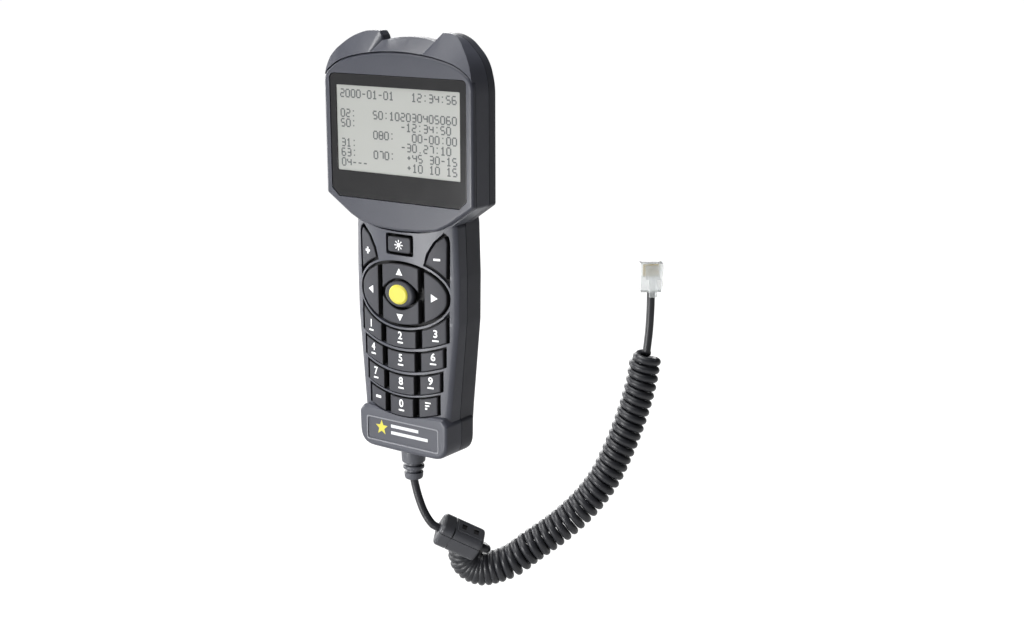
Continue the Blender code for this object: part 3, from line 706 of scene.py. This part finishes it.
def smooth_route(route, spacing):
    """Evenly spaced points of a smooth curve through the route's points."""
    points = [Vector(point) for point in route]
    ends = [points[0] * 2 - points[1], *points, points[-1] * 2 - points[-2]]
    fine = []
    for a, b, c, d in zip(ends, ends[1:], ends[2:], ends[3:]):
        square, cube = 2 * a - 5 * b + 4 * c - d, 3 * b - a - 3 * c + d
        for k in range(20):
            t = k / 20
            fine.append((2 * b + (c - a) * t + square * t**2 + cube * t**3) / 2)
    fine.append(points[-1])
    lengths = [0.0]
    for a, b in zip(fine, fine[1:]):
        lengths.append(lengths[-1] + (b - a).length)
    count = max(2, round(lengths[-1] / spacing) + 1)
    even = []
    i = 1
    for want in between(0.0, lengths[-1], count):
        while i < len(lengths) - 1 and lengths[i] < want - 1e-9:
            i += 1
        share = (want - lengths[i - 1]) / max(1e-9, lengths[i] - lengths[i - 1])
        even.append(fine[i - 1].lerp(fine[i], min(1.0, share)))
    return even


def helix(route, first_radius, last_radius, pitch, steps=28):
    """A helix round a route: tight in its first turns, then even, and closed in on the route at its end."""
    line = smooth_route(route, pitch / steps)
    side = Vector((0, 1, 0))
    points = []
    turn = math.radians(45)
    for i, here in enumerate(line):
        ahead = (line[min(i + 1, len(line) - 1)] - line[max(i - 1, 0)]).normalized()
        side = (side - ahead * side.dot(ahead)).normalized()
        up = ahead.cross(side)
        along = i * pitch / steps
        share = i / (len(line) - 1)
        grown = 0.88 + 0.12 * min(1.0, along / 5)
        closing = min(1.0, (len(line) - 1 - i) / (steps * 0.6))
        reach = (first_radius + (last_radius - first_radius) * share) * grown * closing
        points.append(here + side * reach * math.cos(turn) + up * reach * math.sin(turn))
        eased = min(1.0, max(0.0, along - TIGHT_STRETCH) / TIGHT_STRETCH)
        turn -= 2 * math.pi / steps / (0.5 + 0.5 * eased)
    return points


def cord(ferrite_halves):
    """The whole cord as one tube: the lead with the ferrite on it, the coil and the tail with the plug."""
    coil = helix(COIL_ROUTE, FIRST_TURN_RADIUS, LAST_TURN_RADIUS, COIL_PITCH)
    lead = smooth_route((*LEAD_ROUTE, coil[0]), 0.8)
    tail = smooth_route(TAIL_ROUTE, 1.5)
    points = lead[:-1] + coil + tail
    curve = bpy.data.curves.new("curly_cord", "CURVE")
    curve.dimensions = "3D"
    curve.bevel_depth = WIRE_RADIUS * MM
    curve.bevel_resolution = 5
    curve.use_fill_caps = True
    spline = curve.splines.new("POLY")
    spline.points.add(len(points) - 1)
    for point, place in zip(spline.points, points):
        point.co = (*(CORD_FRAME @ (Vector(place) * MM)), 1)
    spline.use_smooth = True
    curve.materials.append(JACKET)
    made = bpy.data.objects.new("curly_cord", curve)
    bpy.context.scene.collection.objects.link(made)
    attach(made, "handset")
    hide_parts("cord_lead", "cord_coil", "cord_tail")


# ---- Pieces ----


def settle(obj, soft=0.0, segments=2, angle=40, sharp=50):
    """Applies the cuts and joins, rounds the edges that are left sharp, and evens out the shading."""
    if soft:
        soften(obj, soft, segments, angle)
    bpy.context.view_layer.update()
    graph = bpy.context.evaluated_depsgraph_get()
    mesh = bpy.data.meshes.new_from_object(obj.evaluated_get(graph))
    obj.modifiers.clear()
    obj.data = mesh
    mesh.shade_smooth()
    mesh.set_sharp_from_angle(angle=math.radians(sharp))
    even = obj.modifiers.new("even_shading", "WEIGHTED_NORMAL")
    even.keep_sharp = True
    return obj


def crown(x):
    """How far the keypad's rounded face lies behind its middle line, at x."""
    return CROWN_RADIUS - math.sqrt(CROWN_RADIUS**2 - min(abs(x), CROWN_RADIUS / 2) ** 2)


def bow(obj, front=None, still=None):
    """Rounds a flat plate across its width.

    All of it moves alike or, where front and still are given, less and less from front back to still.
    """
    bm = bmesh.new()
    bm.from_mesh(obj.data)
    for x in range(-27, 29, 2):
        everything = bm.verts[:] + bm.edges[:] + bm.faces[:]
        place = (x * MM, 0, 0)
        bmesh.ops.bisect_plane(bm, geom=everything, dist=1e-6, plane_co=place, plane_no=(1, 0, 0))
    for vertex in bm.verts:
        share = 1.0
        if still is not None:
            share = max(0.0, min(1.0, (still - vertex.co.y / MM) / (still - front)))
        vertex.co.y += crown(vertex.co.x / MM) * share * MM
    bm.to_mesh(obj.data)
    bm.free()
    return obj


def piece(obj, body, slot, *nodes):
    """Says what an object of the model moves with and which solids it stands for; the slot, which names what
    it is made of, is not used.
    """
    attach(obj, body)
    if nodes:
        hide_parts(*nodes)
    return obj


# ---- Casing ----


def brow_height(x):
    """The height of the seam above the display, at x."""
    x = min(abs(x), 39.5)
    points = [*BROW, *CORNER, (39.6, 54.0)]
    for (a, low), (b, high) in zip(points, points[1:]):
        if x <= b:
            return low + (high - low) * (x - a) / (b - a)
    return points[-1][1]


def brow_cut_outline():
    """Everything below the seam between the fascia and the brow."""
    upper = [(x, z + SEAM) for x, z in BROW] + [(x + SEAM, z + SEAM) for x, z in CORNER] + [(60, 45)]
    left = [(-x, z) for x, z in reversed(upper) if x > 0]
    return [*upper, (60, -60), (-60, -60), *left]


# The slope from the brow to the head's top: x on the seam, then x, depth and height at the head's rim
SLOPE = (
    (0.0, 0.0, -1.5, 75.2),
    (4.7, 5.0, -1.5, 74.95),
    (9.4, 10.0, -1.5, 74.2),
    (13.0, 14.3, -1.5, 73.3),
    (13.9, 15.3, -1.2, 75.5),
    (15.2, 16.8, -0.8, 77.2),
    (20.0, 22.6, -1.8, 77.2),
    (24.0, 27.0, -3.8, 75.5),
    (27.5, 30.8, -6.0, 73.2),
    (30.5, 33.8, -8.0, 70.4),
    (33.5, 36.9, -9.3, 67.2),
    (36.6, 38.9, -10.3, 62.0),
    (39.3, 41.0, -10.9, 58.5),
)


def slope_cutter(name):
    """All that lies in front of and above the slope from the brow's seam back to the head's rim."""
    half = []
    for x, rim_x, rim_y, rim_z in SLOPE:
        foot = Vector((x, FASCIA_FRONT + 0.25, brow_height(x) + SEAM + 0.1))
        rim = Vector((rim_x, rim_y, rim_z))
        along = rim - foot
        before = foot - along * 0.3
        before.y = min(before.y, FASCIA_FRONT - 1.5)
        half.append((before, foot, rim, rim + along * 0.35))
    mirror = [tuple(Vector((-p.x, p.y, p.z)) for p in row) for row in reversed(half[1:])]
    rows = mirror + half
    bm = bmesh.new()
    low = [[bm.verts.new(p * MM) for p in row] for row in rows]
    high = [[bm.verts.new((p.x * MM, p.y * MM, 0.11)) for p in row] for row in rows]
    for a, b, up_a, up_b in zip(low, low[1:], high, high[1:]):
        for i in range(3):
            bm.faces.new((a[i], b[i], b[i + 1], a[i + 1]))
            bm.faces.new((up_a[i], up_a[i + 1], up_b[i + 1], up_b[i]))
        bm.faces.new((a[0], up_a[0], up_b[0], b[0]))
        bm.faces.new((a[3], b[3], up_b[3], up_a[3]))
    for line, upper in ((low[0], high[0]), (low[-1], high[-1])):
        for i in range(3):
            bm.faces.new((line[i], line[i + 1], upper[i + 1], upper[i]))
    bmesh.ops.recalc_face_normals(bm, faces=bm.faces)
    return finished(name, bm, None)


def leaf(side, grow):
    """The outline of the plus (-1, left) or minus (1, right) opening beside the light key."""
    inner, outer = 11.9 - grow, 24.1 + min(grow, 0)
    bottom = [(x, pad_edge(x, RIB - min(grow, 0.15), 1)) for x in between(outer - 0.3, inner, 9)]
    corners = [
        (21.4 - grow * 0.2, -3.0 + grow * 1.3),
        (outer - 0.6, -4.6 + grow * 0.7),
        (outer, -7.0),
        *bottom,
        (13.4 - grow, -12.4),
        (16.6 - grow, -7.4),
    ]
    return [(side * x, z) for x, z in corners][:: int(side)]


def light_outline(grow):
    return rounded(rectangle((0, -9.9), (14.6 + 2 * grow, 9.2 + 2 * grow), 1.3), steps=4)


def keypad_openings():
    cutters = [
        plate("light_opening", light_outline(0), *KEY_OPENING),
        plate("leaf_opening_right", leaf(1, 0), *KEY_OPENING),
        plate("leaf_opening_left", leaf(-1, 0), *KEY_OPENING),
        plate("pad_opening", oval((0, PAD_CENTRE), PAD_HALF), *KEY_OPENING),
    ]
    for row, middle in enumerate(ROW_MIDDLES):
        wide = keypad_half_width(middle)
        outline = strip(-wide, wide, row_top(row, 0), row_bottom(row, 0), 17)
        cutters.append(plate(f"row_opening_{row + 1}", outline, *KEY_OPENING))
    return cutters


def casing_front():
    """The front half: head, grip and foot joined, hollowed, and opened for the display and the keys."""
    shell = plate("casing_front", GRIP_OUTLINE, KEYPAD_FACE, 6, BODY, edge=2.2, steps=5)
    bow(shell, KEYPAD_FACE, KEYPAD_STILL)
    head = plate("front_head", HEAD_OUTLINE, FASCIA_FRONT + 0.1, 4)
    cut(head, plate("head_seat", brow_cut_outline(), -20, HEAD_FRONT), slope_cutter("front_slope"))
    cut(shell, plate("fascia_seat", FASCIA_OUTLINE, -20, HEAD_FRONT + 0.07, grow=0.4))
    foot = plate("front_foot", FOOT_OUTLINE, FOOT_FRONT, 4, edge=1.6, steps=4)
    join(shell, head, foot)
    cut(shell, box("behind_seam", (-60, 0, -120), (60, 30, 100)))
    cut(shell, plate("head_room", HEAD_ROOM, HEAD_FRONT + WALL, 3))
    room = plate("grip_room", GRIP_OUTLINE, KEYPAD_FACE + WALL, 8, grow=-WALL)
    cut(shell, bow(room, KEYPAD_FACE, KEYPAD_STILL))
    cut(shell, plate("lcd_opening", rounded(rectangle((0, LCD_MIDDLE), (67.4, 38.4), 1)), -10, -5))
    cut(shell, *keypad_openings())
    cut(shell, plate("badge_seat", badge_outline(0), -12, BADGE_SEAT))
    settle(shell, 0.3, 2)
    piece(shell, "handset", "body_plastic", "front_shell")


def label_outline(inset):
    return rounded(rectangle((0, -40), (34 - 2 * inset, 46 - 2 * inset), 2 - 0.8 * inset))


def casing_rear():
    """The rear half, with the screws' recesses and a shallow seat for a label."""
    shell = plate("casing_rear", GRIP_BACK_OUTLINE, -6, GRIP_BACK, REAR_WITH_SHADE, edge=3.4, steps=5)
    head = plate("rear_head", HEAD_OUTLINE, -4, HEAD_BACK, edge=1.0, steps=3)
    cut(head, slope_cutter("rear_slope"))
    foot = plate("rear_foot", FOOT_OUTLINE, -4, FOOT_BACK, edge=1.8, steps=4)
    join(shell, head, foot)
    cut(shell, box("before_seam", (-60, -30, -120), (60, GAP, 100)))
    cut(shell, plate("rear_grip_room", GRIP_OUTLINE, -6, GRIP_BACK - WALL, grow=-WALL))
    cut(shell, plate("rear_head_room", HEAD_ROOM, -3, HEAD_BACK - WALL))
    cut(shell, plate("label_seat", label_outline(0), GRIP_BACK - 0.5, 20))
    for i, (x, z) in enumerate(CASE_SCREWS, 1):
        seat = 2.6 if z > 0 else 4.6
        cut(shell, rod(f"rear_recess_{i}", 3.1, (x, seat + 0.3, z), (x, 20, z)))
    settle(shell, 0.3, 2)
    piece(shell, "handset", "body_plastic", "rear_shell")


def blank_label():
    """A plain panel in the recess of the back."""
    label = plate("blank_label", label_outline(0.5), GRIP_BACK - 0.7, GRIP_BACK - 0.32, RIM, edge=0.05)
    settle(label)
    piece(label, "handset", "badge_film")


def fascia():
    """The frame round the display's lens."""
    made = plate("fascia", FASCIA_OUTLINE, FASCIA_FRONT, FASCIA_BACK + 2, FASCIA, edge=1.4, steps=4)
    cut(made, box("fascia_behind", (-50, FASCIA_BACK, -20), (50, 0, 90)))
    cut(made, plate("lens_opening", LENS_OUTLINE, -14, -6))
    settle(made, 0.18, 2)
    piece(made, "handset", "fascia_plastic", "head_fascia")


# ---- Display ----


def lens():
    """The dark border of the lens, with a clear opening over the screen."""
    made = plate("lens_frame", LENS_OUTLINE, FASCIA_FRONT + 0.2, FASCIA_BACK, LENS, edge=0.25, grow=-0.2)
    window = rectangle((0, LCD_MIDDLE), LCD_SIZE, 0.5)
    cut(made, plate("window", rounded(window, 4), -14, -6))
    settle(made, 0.12, 2)
    piece(made, "handset", "lens_acrylic", "display_lens")


# The strokes of a digit on a grid of five by seven dots, as the columns and rows that each one covers
STROKES = {
    "top": ((1, 2, 3), (0,)),
    "upper_right": ((4,), (1, 2)),
    "lower_right": ((4,), (4, 5)),
    "bottom": ((1, 2, 3), (6,)),
    "lower_left": ((0,), (4, 5)),
    "upper_left": ((0,), (1, 2)),
    "middle": ((1, 2, 3), (3,)),
    "right": ((4,), (3,)),
    "left": ((0,), (3,)),
    "upright": ((2,), (2, 4)),
    "stem": ((2,), (0, 1, 2, 3, 4, 5, 6)),
    "serif": ((1,), (1, 6)),
    "foot": ((3,), (6,)),
    "dots": ((2,), (1, 5)),
    "stop": ((2,), (6,)),
}
RIGHT, LEFT = ("upper_right", "right", "lower_right"), ("upper_left", "left", "lower_left")
SIGNS = {
    "0": ("top", *RIGHT, "bottom", *LEFT),
    "1": ("stem", "serif", "foot"),
    "2": ("top", "upper_right", "middle", "lower_left", "bottom"),
    "3": ("top", *RIGHT, "middle", "bottom"),
    "4": ("upper_left", "middle", *RIGHT),
    "5": ("top", "upper_left", "middle", "lower_right", "bottom"),
    "6": ("top", *LEFT, "middle", "lower_right", "bottom"),
    "7": ("top", *RIGHT),
    "8": ("top", *RIGHT, "bottom", *LEFT, "middle"),
    "9": ("top", *RIGHT, "middle", "upper_left", "bottom"),
    "-": ("middle",),
    "+": ("middle", "upright"),
    ":": ("dots",),
    ".": ("stop",),
    " ": (),
}
READOUT = (
    "2000-01-01   12:34:56",
    "                     ",
    "02:   50:102030405060",
    "50:        -12:34:50 ",
    "      080:   00-00:00",
    "31:        -30.27:10 ",
    "63:   070:  +45 30-15",
    "04---       +10 10 15",
)


def dark_dots():
    """The column and row of each dark dot of the readout."""
    for line, text in enumerate(READOUT):
        for place, sign in enumerate(text):
            for stroke in SIGNS[sign]:
                across, down = STROKES[stroke]
                for column in across:
                    for row in down:
                        yield place * CELL[0] + column, line * CELL[1] + row


def screen():
    """The pale screen and the dots of its readout."""
    low = LCD_MIDDLE - LCD_SIZE[1] / 2
    glass = box("screen", (-33.4, SCREEN_FRONT, low - 1), (33.4, -9.2, low + LCD_SIZE[1] + 1), SCREEN)
    piece(glass, "handset", "lcd_glass", "lcd_glass")
    dot_x = READOUT_SIZE[0] / (len(READOUT[0]) * CELL[0])
    dot_z = READOUT_SIZE[1] / (len(READOUT) * CELL[1])
    wide, high = dot_x * 1.3, dot_z * 1.05
    top = LCD_MIDDLE + LCD_SIZE[1] / 2 - 1.6
    bm = bmesh.new()
    for column, row in dark_dots():
        x, z = READOUT_LEFT + column * dot_x, top - row * dot_z
        corners = ((x, z), (x + wide, z), (x + wide, z - high), (x, z - high))
        bm.faces.new([bm.verts.new((a * MM, (SCREEN_FRONT - 0.03) * MM, b * MM)) for a, b in corners])
    bmesh.ops.recalc_face_normals(bm, faces=bm.faces)
    piece(finished("readout", bm, DOTS), "handset", "lcd_glass")


# ---- Keypad ----


def paint_shade_on_sides(obj, depth):
    """Gives a key's faces behind this depth the near-black material: painted shade on its sides, down in the
    gaps between the keys.
    """
    obj.data.materials.append(MAT_AND_SHADE_BLACK)
    for face in obj.data.polygons:
        if face.center.y > (depth + crown(face.center.x / MM)) * MM:
            face.material_index = 1


def cap(node, outline, front=KEY_FRONT, edge=0.5):
    made = plate(node + "_cap", outline(-CLEARANCE), front, -8.0, KEY, edge=edge, steps=3)
    settle(bow(made))
    # painted shade on the key's sides
    paint_shade_on_sides(made, front + edge * 0.3)
    return piece(made, node, "key_rubber", node)


def glyph_mesh(name, shapes, middle, front, node, stuff=None):
    """Flat printed marks on a key or on the badge, each a closed outline round its middle."""
    bm = bmesh.new()
    for shape in shapes:
        points = [(middle[0] + x, front - 0.05, middle[1] + z) for x, z in shape]
        if node != "handset":
            points = [(x, y + crown(x), z) for x, y, z in points]
        bm.faces.new([bm.verts.new(Vector(point) * MM) for point in points])
    bmesh.ops.recalc_face_normals(bm, faces=bm.faces)
    return piece(finished(name, bm, stuff or INK), node, "key_rubber")


def plus(size, width):
    a, b = size / 2, width / 2
    points, quarter = [], [(-b, a), (-b, b), (-a, b)]
    for _ in range(4):
        points += quarter
        quarter = [(-z, x) for x, z in quarter]
    return points


def bar(x, z, width, height):
    a, b = width / 2, height / 2
    return [(x - a, z - b), (x + a, z - b), (x + a, z + b), (x - a, z + b)]


def number(word, middle, node):
    """A digit with a short bar under it."""
    data = bpy.data.curves.new(node + "_digit", "FONT")
    data.body = word
    data.size = DIGIT_SIZE * MM
    data.align_x = "CENTER"
    data.align_y = "CENTER"
    data.offset = 0.1 * MM
    data.materials.append(INK)
    made = bpy.data.objects.new(node + "_digit", data)
    bpy.context.scene.collection.objects.link(made)
    made.location = (middle[0] * MM, (KEY_FRONT + crown(middle[0]) - 0.07) * MM, (middle[1] + 0.9) * MM)
    made.rotation_euler = (math.pi / 2, 0, math.asin(middle[0] / CROWN_RADIUS))
    piece(made, node, "key_rubber")
    glyph_mesh(node + "_mark", [bar(0, -2.0, 2.9, 0.7)], middle, KEY_FRONT, node)


def number_outline(column, row):
    """The outline of a number key: column -1, 0 or 1, and the row from the top."""
    middle = ROW_MIDDLES[row]
    slot = 9.5 - 0.06 * (ROW_MIDDLES[0] - middle)
    edge = keypad_half_width(middle)

    def outline(grow):
        if column == 0:
            left, right = -slot + SLOT / 2 + 0.35, slot - SLOT / 2 - 0.35
        else:
            near, far = slot + SLOT / 2 + 0.35, edge + grow
            left, right = sorted((column * near, column * far))
        return strip(left, right, row_top(row, -BELOW_RIB), row_bottom(row, -ABOVE_RIB))

    return outline


def arrow_outlines():
    """The outlines of the four arrow keys, which share the pad's ellipse round the enter key."""
    inner = PAD_GAP_X - SLOT / 2 - 0.2
    outer = PAD_GAP_X + SLOT / 2 + 0.2

    def vertical(side):
        """The key above (1) or below (-1) the enter key."""

        def near(x):
            return max(eye_edge(x, 1.1, side) * side, PAD_CENTRE * side + 1.2) * side

        def outline(grow):
            def far(x):
                return pad_edge(x, grow, side)

            top, bottom = (far, near) if side > 0 else (near, far)
            return strip(-inner, inner, top, bottom, 15)

        return outline

    def sideways(side):
        """The key on the right (1) or left (-1) of the enter key."""

        def outline(grow):
            far = PAD_HALF[0] + grow - 0.25
            xs = [outer + (far - outer) * math.sin(math.pi / 2 * k / 9) for k in range(10)]
            upper = [(side * x, pad_edge(x, grow, 1)) for x in xs]
            lower = [(side * x, pad_edge(x, grow, -1)) for x in reversed(xs)]
            return (upper + lower)[:: int(side)]

        return outline

    return {
        "key_up": vertical(1),
        "key_down": vertical(-1),
        "key_right": sideways(1),
        "key_left": sideways(-1),
    }


def triangle(turn, size=1.75):
    """An arrowhead that points up, turned clockwise by quarter turns."""
    corners = ((-size, -size * 0.75), (size, -size * 0.75), (0, size * 0.95))
    return rotated(corners, -turn * math.pi / 2)


def sun():
    """A disc with eight rays."""
    rays = []
    for k in range(8):
        angle = k * math.pi / 4
        along = Vector((math.cos(angle), math.sin(angle)))
        across = Vector((-along.y, along.x)) * 0.22
        rays.append([tuple(along * a + across * b) for a, b in ((1.3, -1), (2.2, -1), (2.2, 1), (1.3, 1))])
    return [oval((0, 0), (1.0, 1.0), 20), *rays]


def keys():
    cap("key_light", light_outline)
    glyph_mesh("light_glyph", sun(), (0, -10.0), KEY_FRONT, "key_light")
    cap("key_plus", lambda grow: leaf(-1, grow))
    glyph_mesh("plus_glyph", [plus(2.9, 0.95)], (-18.7, -14.5), KEY_FRONT, "key_plus")
    cap("key_minus", lambda grow: leaf(1, grow))
    glyph_mesh("minus_glyph", [bar(0, 0, 3.0, 0.95)], (18.4, -14.5), KEY_FRONT, "key_minus")
    for node, outline in arrow_outlines().items():
        cap(node, outline)
        x, z, turn = ARROWS[node]
        glyph_mesh(node + "_glyph", [triangle(turn)], (x, z), KEY_FRONT, node)
    names = ("1 2 3", "4 5 6", "7 8 9", "menu 0 function")
    for row, line in enumerate(names):
        for column, word in zip((-1, 0, 1), line.split()):
            node = f"key_{word}"
            cap(node, number_outline(column, row))
            x = column * DIGIT_COLUMNS[row]
            middle = (x, smile(x, ROW_MIDDLES[row] + (0.4 if row else 0)))
            if word == "menu":
                glyph_mesh("menu_glyph", [bar(0, 0, 3.2, 1.1)], middle, KEY_FRONT, node)
            elif word == "function":
                bars = [bar(0, 1.5, 2.6, 0.6), bar(-0.3, 0.2, 2.0, 0.6), bar(-0.8, -1.1, 1.0, 0.9)]
                glyph_mesh("function_glyph", bars, middle, KEY_FRONT, node)
            else:
                number(word, middle, node)


def enter():
    """The enter key: an oval boss with a yellow dome on it."""
    boss = plate("enter_boss", oval((0, PAD_CENTRE), (7.6, 5.6)), -11.5, -8.5, KEY, edge=1.1, steps=4)
    settle(boss)
    # painted shade on the boss's sides, in the well round it
    paint_shade_on_sides(boss, -10.0)
    piece(boss, "key_enter", "key_rubber", "key_enter")
    pad = plate("enter_dome", oval((0, PAD_CENTRE), (5.1, 4.3)), -12.3, -9.6, YELLOW, edge=1.2, steps=5)
    settle(pad)
    piece(pad, "key_enter", "yellow_rubber", "enter_pad")


def rubber_web():
    """The rubber mat that shows between the keys, near-black, which also paints the shade in the gaps."""
    outline = rounded(mirrored([(24.4, -2.5, 3), (24.6, -45.0, 10), (20.5, -86.4, 3)]))
    web = plate("rubber_web", outline, WEB_FRONT, WEB_BACK, MAT_AND_SHADE_BLACK, edge=0.3)
    settle(bow(web, WEB_FRONT, WEB_BACK))
    piece(web, "handset", "mat_silicone", "keypad_mat")


# ---- Badge ----


def badge_outline(inset):
    return rounded(rectangle(BADGE_MIDDLE, (39.5 - 2 * inset, 11.0 - 2 * inset), 1.2), steps=4)


def badge():
    """A sunk panel with a light rim, a star and two bars."""
    front = FOOT_FRONT + 0.35
    inside = badge_outline(0.6)
    rim = plate(
        "badge_rim", badge_outline(0.05), FOOT_FRONT - 0.12, BADGE_SEAT, RIM, edge=0.12, holes=(inside,)
    )
    settle(rim)
    piece(rim, "handset", "body_plastic")
    film = plate("badge_film", inside, front, BADGE_SEAT, BADGE, edge=0.05)
    settle(film)
    piece(film, "handset", "badge_film", "badge_plate")
    star = []
    for k in range(10):
        reach = 3.5 if k % 2 == 0 else 1.5
        angle = math.pi / 2 + k * math.pi / 5
        star.append((reach * math.cos(angle) - 11.6, reach * math.sin(angle) + 0.9))
    glyph_mesh("badge_star", [star], BADGE_MIDDLE, front, "handset", YELLOW)
    bars = [bar(1.1, 2.5, 15.0, 1.4), bar(3.6, -0.5, 20.0, 1.4)]
    glyph_mesh("badge_bars", bars, BADGE_MIDDLE, front, "handset", SILVER)


# ---- Strain relief and ferrite ----


def relief():
    """The boot under the foot, with two grooves that let it bend."""
    bottom = FOOT_BOTTOM
    profile = [
        (2.0, bottom + 5.4),
        (4.6, bottom + 5.4),
        (4.6, bottom + 0.2),
        (5.3, bottom - 0.4),
        (5.35, bottom - 1.2),
        (5.15, bottom - 5.2),
        (4.95, bottom - 5.6),
        (3.3, bottom - 5.8),
        (3.3, bottom - 7.0),
        (4.65, bottom - 7.2),
        (4.65, bottom - 8.6),
        (3.05, bottom - 8.9),
        (3.05, bottom - 10.1),
        (4.2, bottom - 10.3),
        (4.05, bottom - 12.4),
        (3.7, RELIEF_BOTTOM),
        (1.8, RELIEF_BOTTOM),
    ]
    boot = turned("boot", profile, RELIEF, Matrix.Translation((0, CORD_Y * MM, 0)))
    settle(boot, 0.25, 2, 30)
    piece(boot, "handset", "relief_rubber", "strain_relief")


def ferrite_frame():
    """X runs along the core's bore, Y away from the viewer and Z up, across the split."""
    place = Matrix.Translation(Vector(FERRITE_MIDDLE) * MM) @ Matrix.Rotation(-FERRITE_SLOPE, 4, "Y")
    return CORD_FRAME @ place


def half_shell(name, side):
    """Half of the ferrite's case, a rounded square rolled about its bore, on one side of the split."""
    half = FERRITE_LENGTH / 2
    section = rounded(rectangle((0, 0), (FERRITE_WIDTH, FERRITE_WIDTH), 3.6), 6)
    bm = plate_mesh(rotated(section, -FERRITE_ROLL), -half, half - 1.0, edge=1.7, steps=4)
    bmesh.ops.transform(bm, matrix=Matrix.Rotation(-math.pi / 2, 4, "Z"), verts=bm.verts)
    place = ferrite_frame()
    body = finished(name, bm, FERRITE, place)
    low, high = (-20, HALF_SPLIT) if side > 0 else (-HALF_SPLIT, 20)
    cut(body, box(name + "_split", (-30, -30, low), (30, 30, high), None, place))
    ends = (-CORE_ROOM_HALF, 0, 0), (CORE_ROOM_HALF, 0, 0)
    cut(body, rod(name + "_room", CORE_ROOM_RADIUS, *ends, None, 48, place))
    cut(body, rod(name + "_bore", 2.1, (-30, 0, 0), (30, 0, 0), None, 32, place))
    groove = rod(name + "_groove", 12.0, (-4.9, 0, 0), (-4.3, 0, 0), None, 48, place)
    cut(groove, rod(name + "_inside", 6.05, (-9, 0, 0), (9, 0, 0), None, 48, place))
    cut(body, groove)
    return body


def ferrite():
    """The two halves of the case: the lower one with the hinge's notch, the upper one with the latches."""
    place = ferrite_frame()
    lower = half_shell("ferrite_lower", -1)
    cut(lower, box("hinge_notch", (-30, 5.85, -1.6), (30, 12, 1), None, place))
    settle(lower, 0.22, 2)
    piece(lower, "handset", "ferrite_plastic", "ferrite_case")
    upper = half_shell("ferrite_upper", 1)
    facet = place @ Matrix.Rotation(FERRITE_ROLL, 4, "X")
    join(upper, box("latch_strip", (-3.6, -3.3, 5.4), (8.2, 3.3, 6.5), None, facet))
    for i, x in enumerate(LATCH_WINDOWS, 1):
        cut(upper, box(f"latch_window_{i}", (x - 1.15, -1.5, 5.85), (x + 1.15, 1.3, 9), None, facet))
    settle(upper, 0.22, 2)
    # The floors of the latch windows get the near-black material: painted shade in the windows
    upper.data.materials.append(MAT_AND_SHADE_BLACK)
    to_facet = facet.inverted() @ upper.matrix_world
    for face in upper.data.polygons:
        x, y, z = (to_facet @ face.center) / MM
        if 5.6 < z < 6.3 and abs(y) < 1.7 and any(abs(x - window) < 1.3 for window in LATCH_WINDOWS):
            face.material_index = len(upper.data.materials) - 1
    piece(upper, "ferrite_lid", "ferrite_plastic", "ferrite_lid")
    return lower, upper


casing_front()
casing_rear()
blank_label()
fascia()
lens()
screen()
rubber_web()
keys()
enter()
badge()
relief()
cord(ferrite())
for helper in list(HELPERS.objects):
    bpy.data.objects.remove(helper, do_unlink=True)
bpy.data.collections.remove(HELPERS)
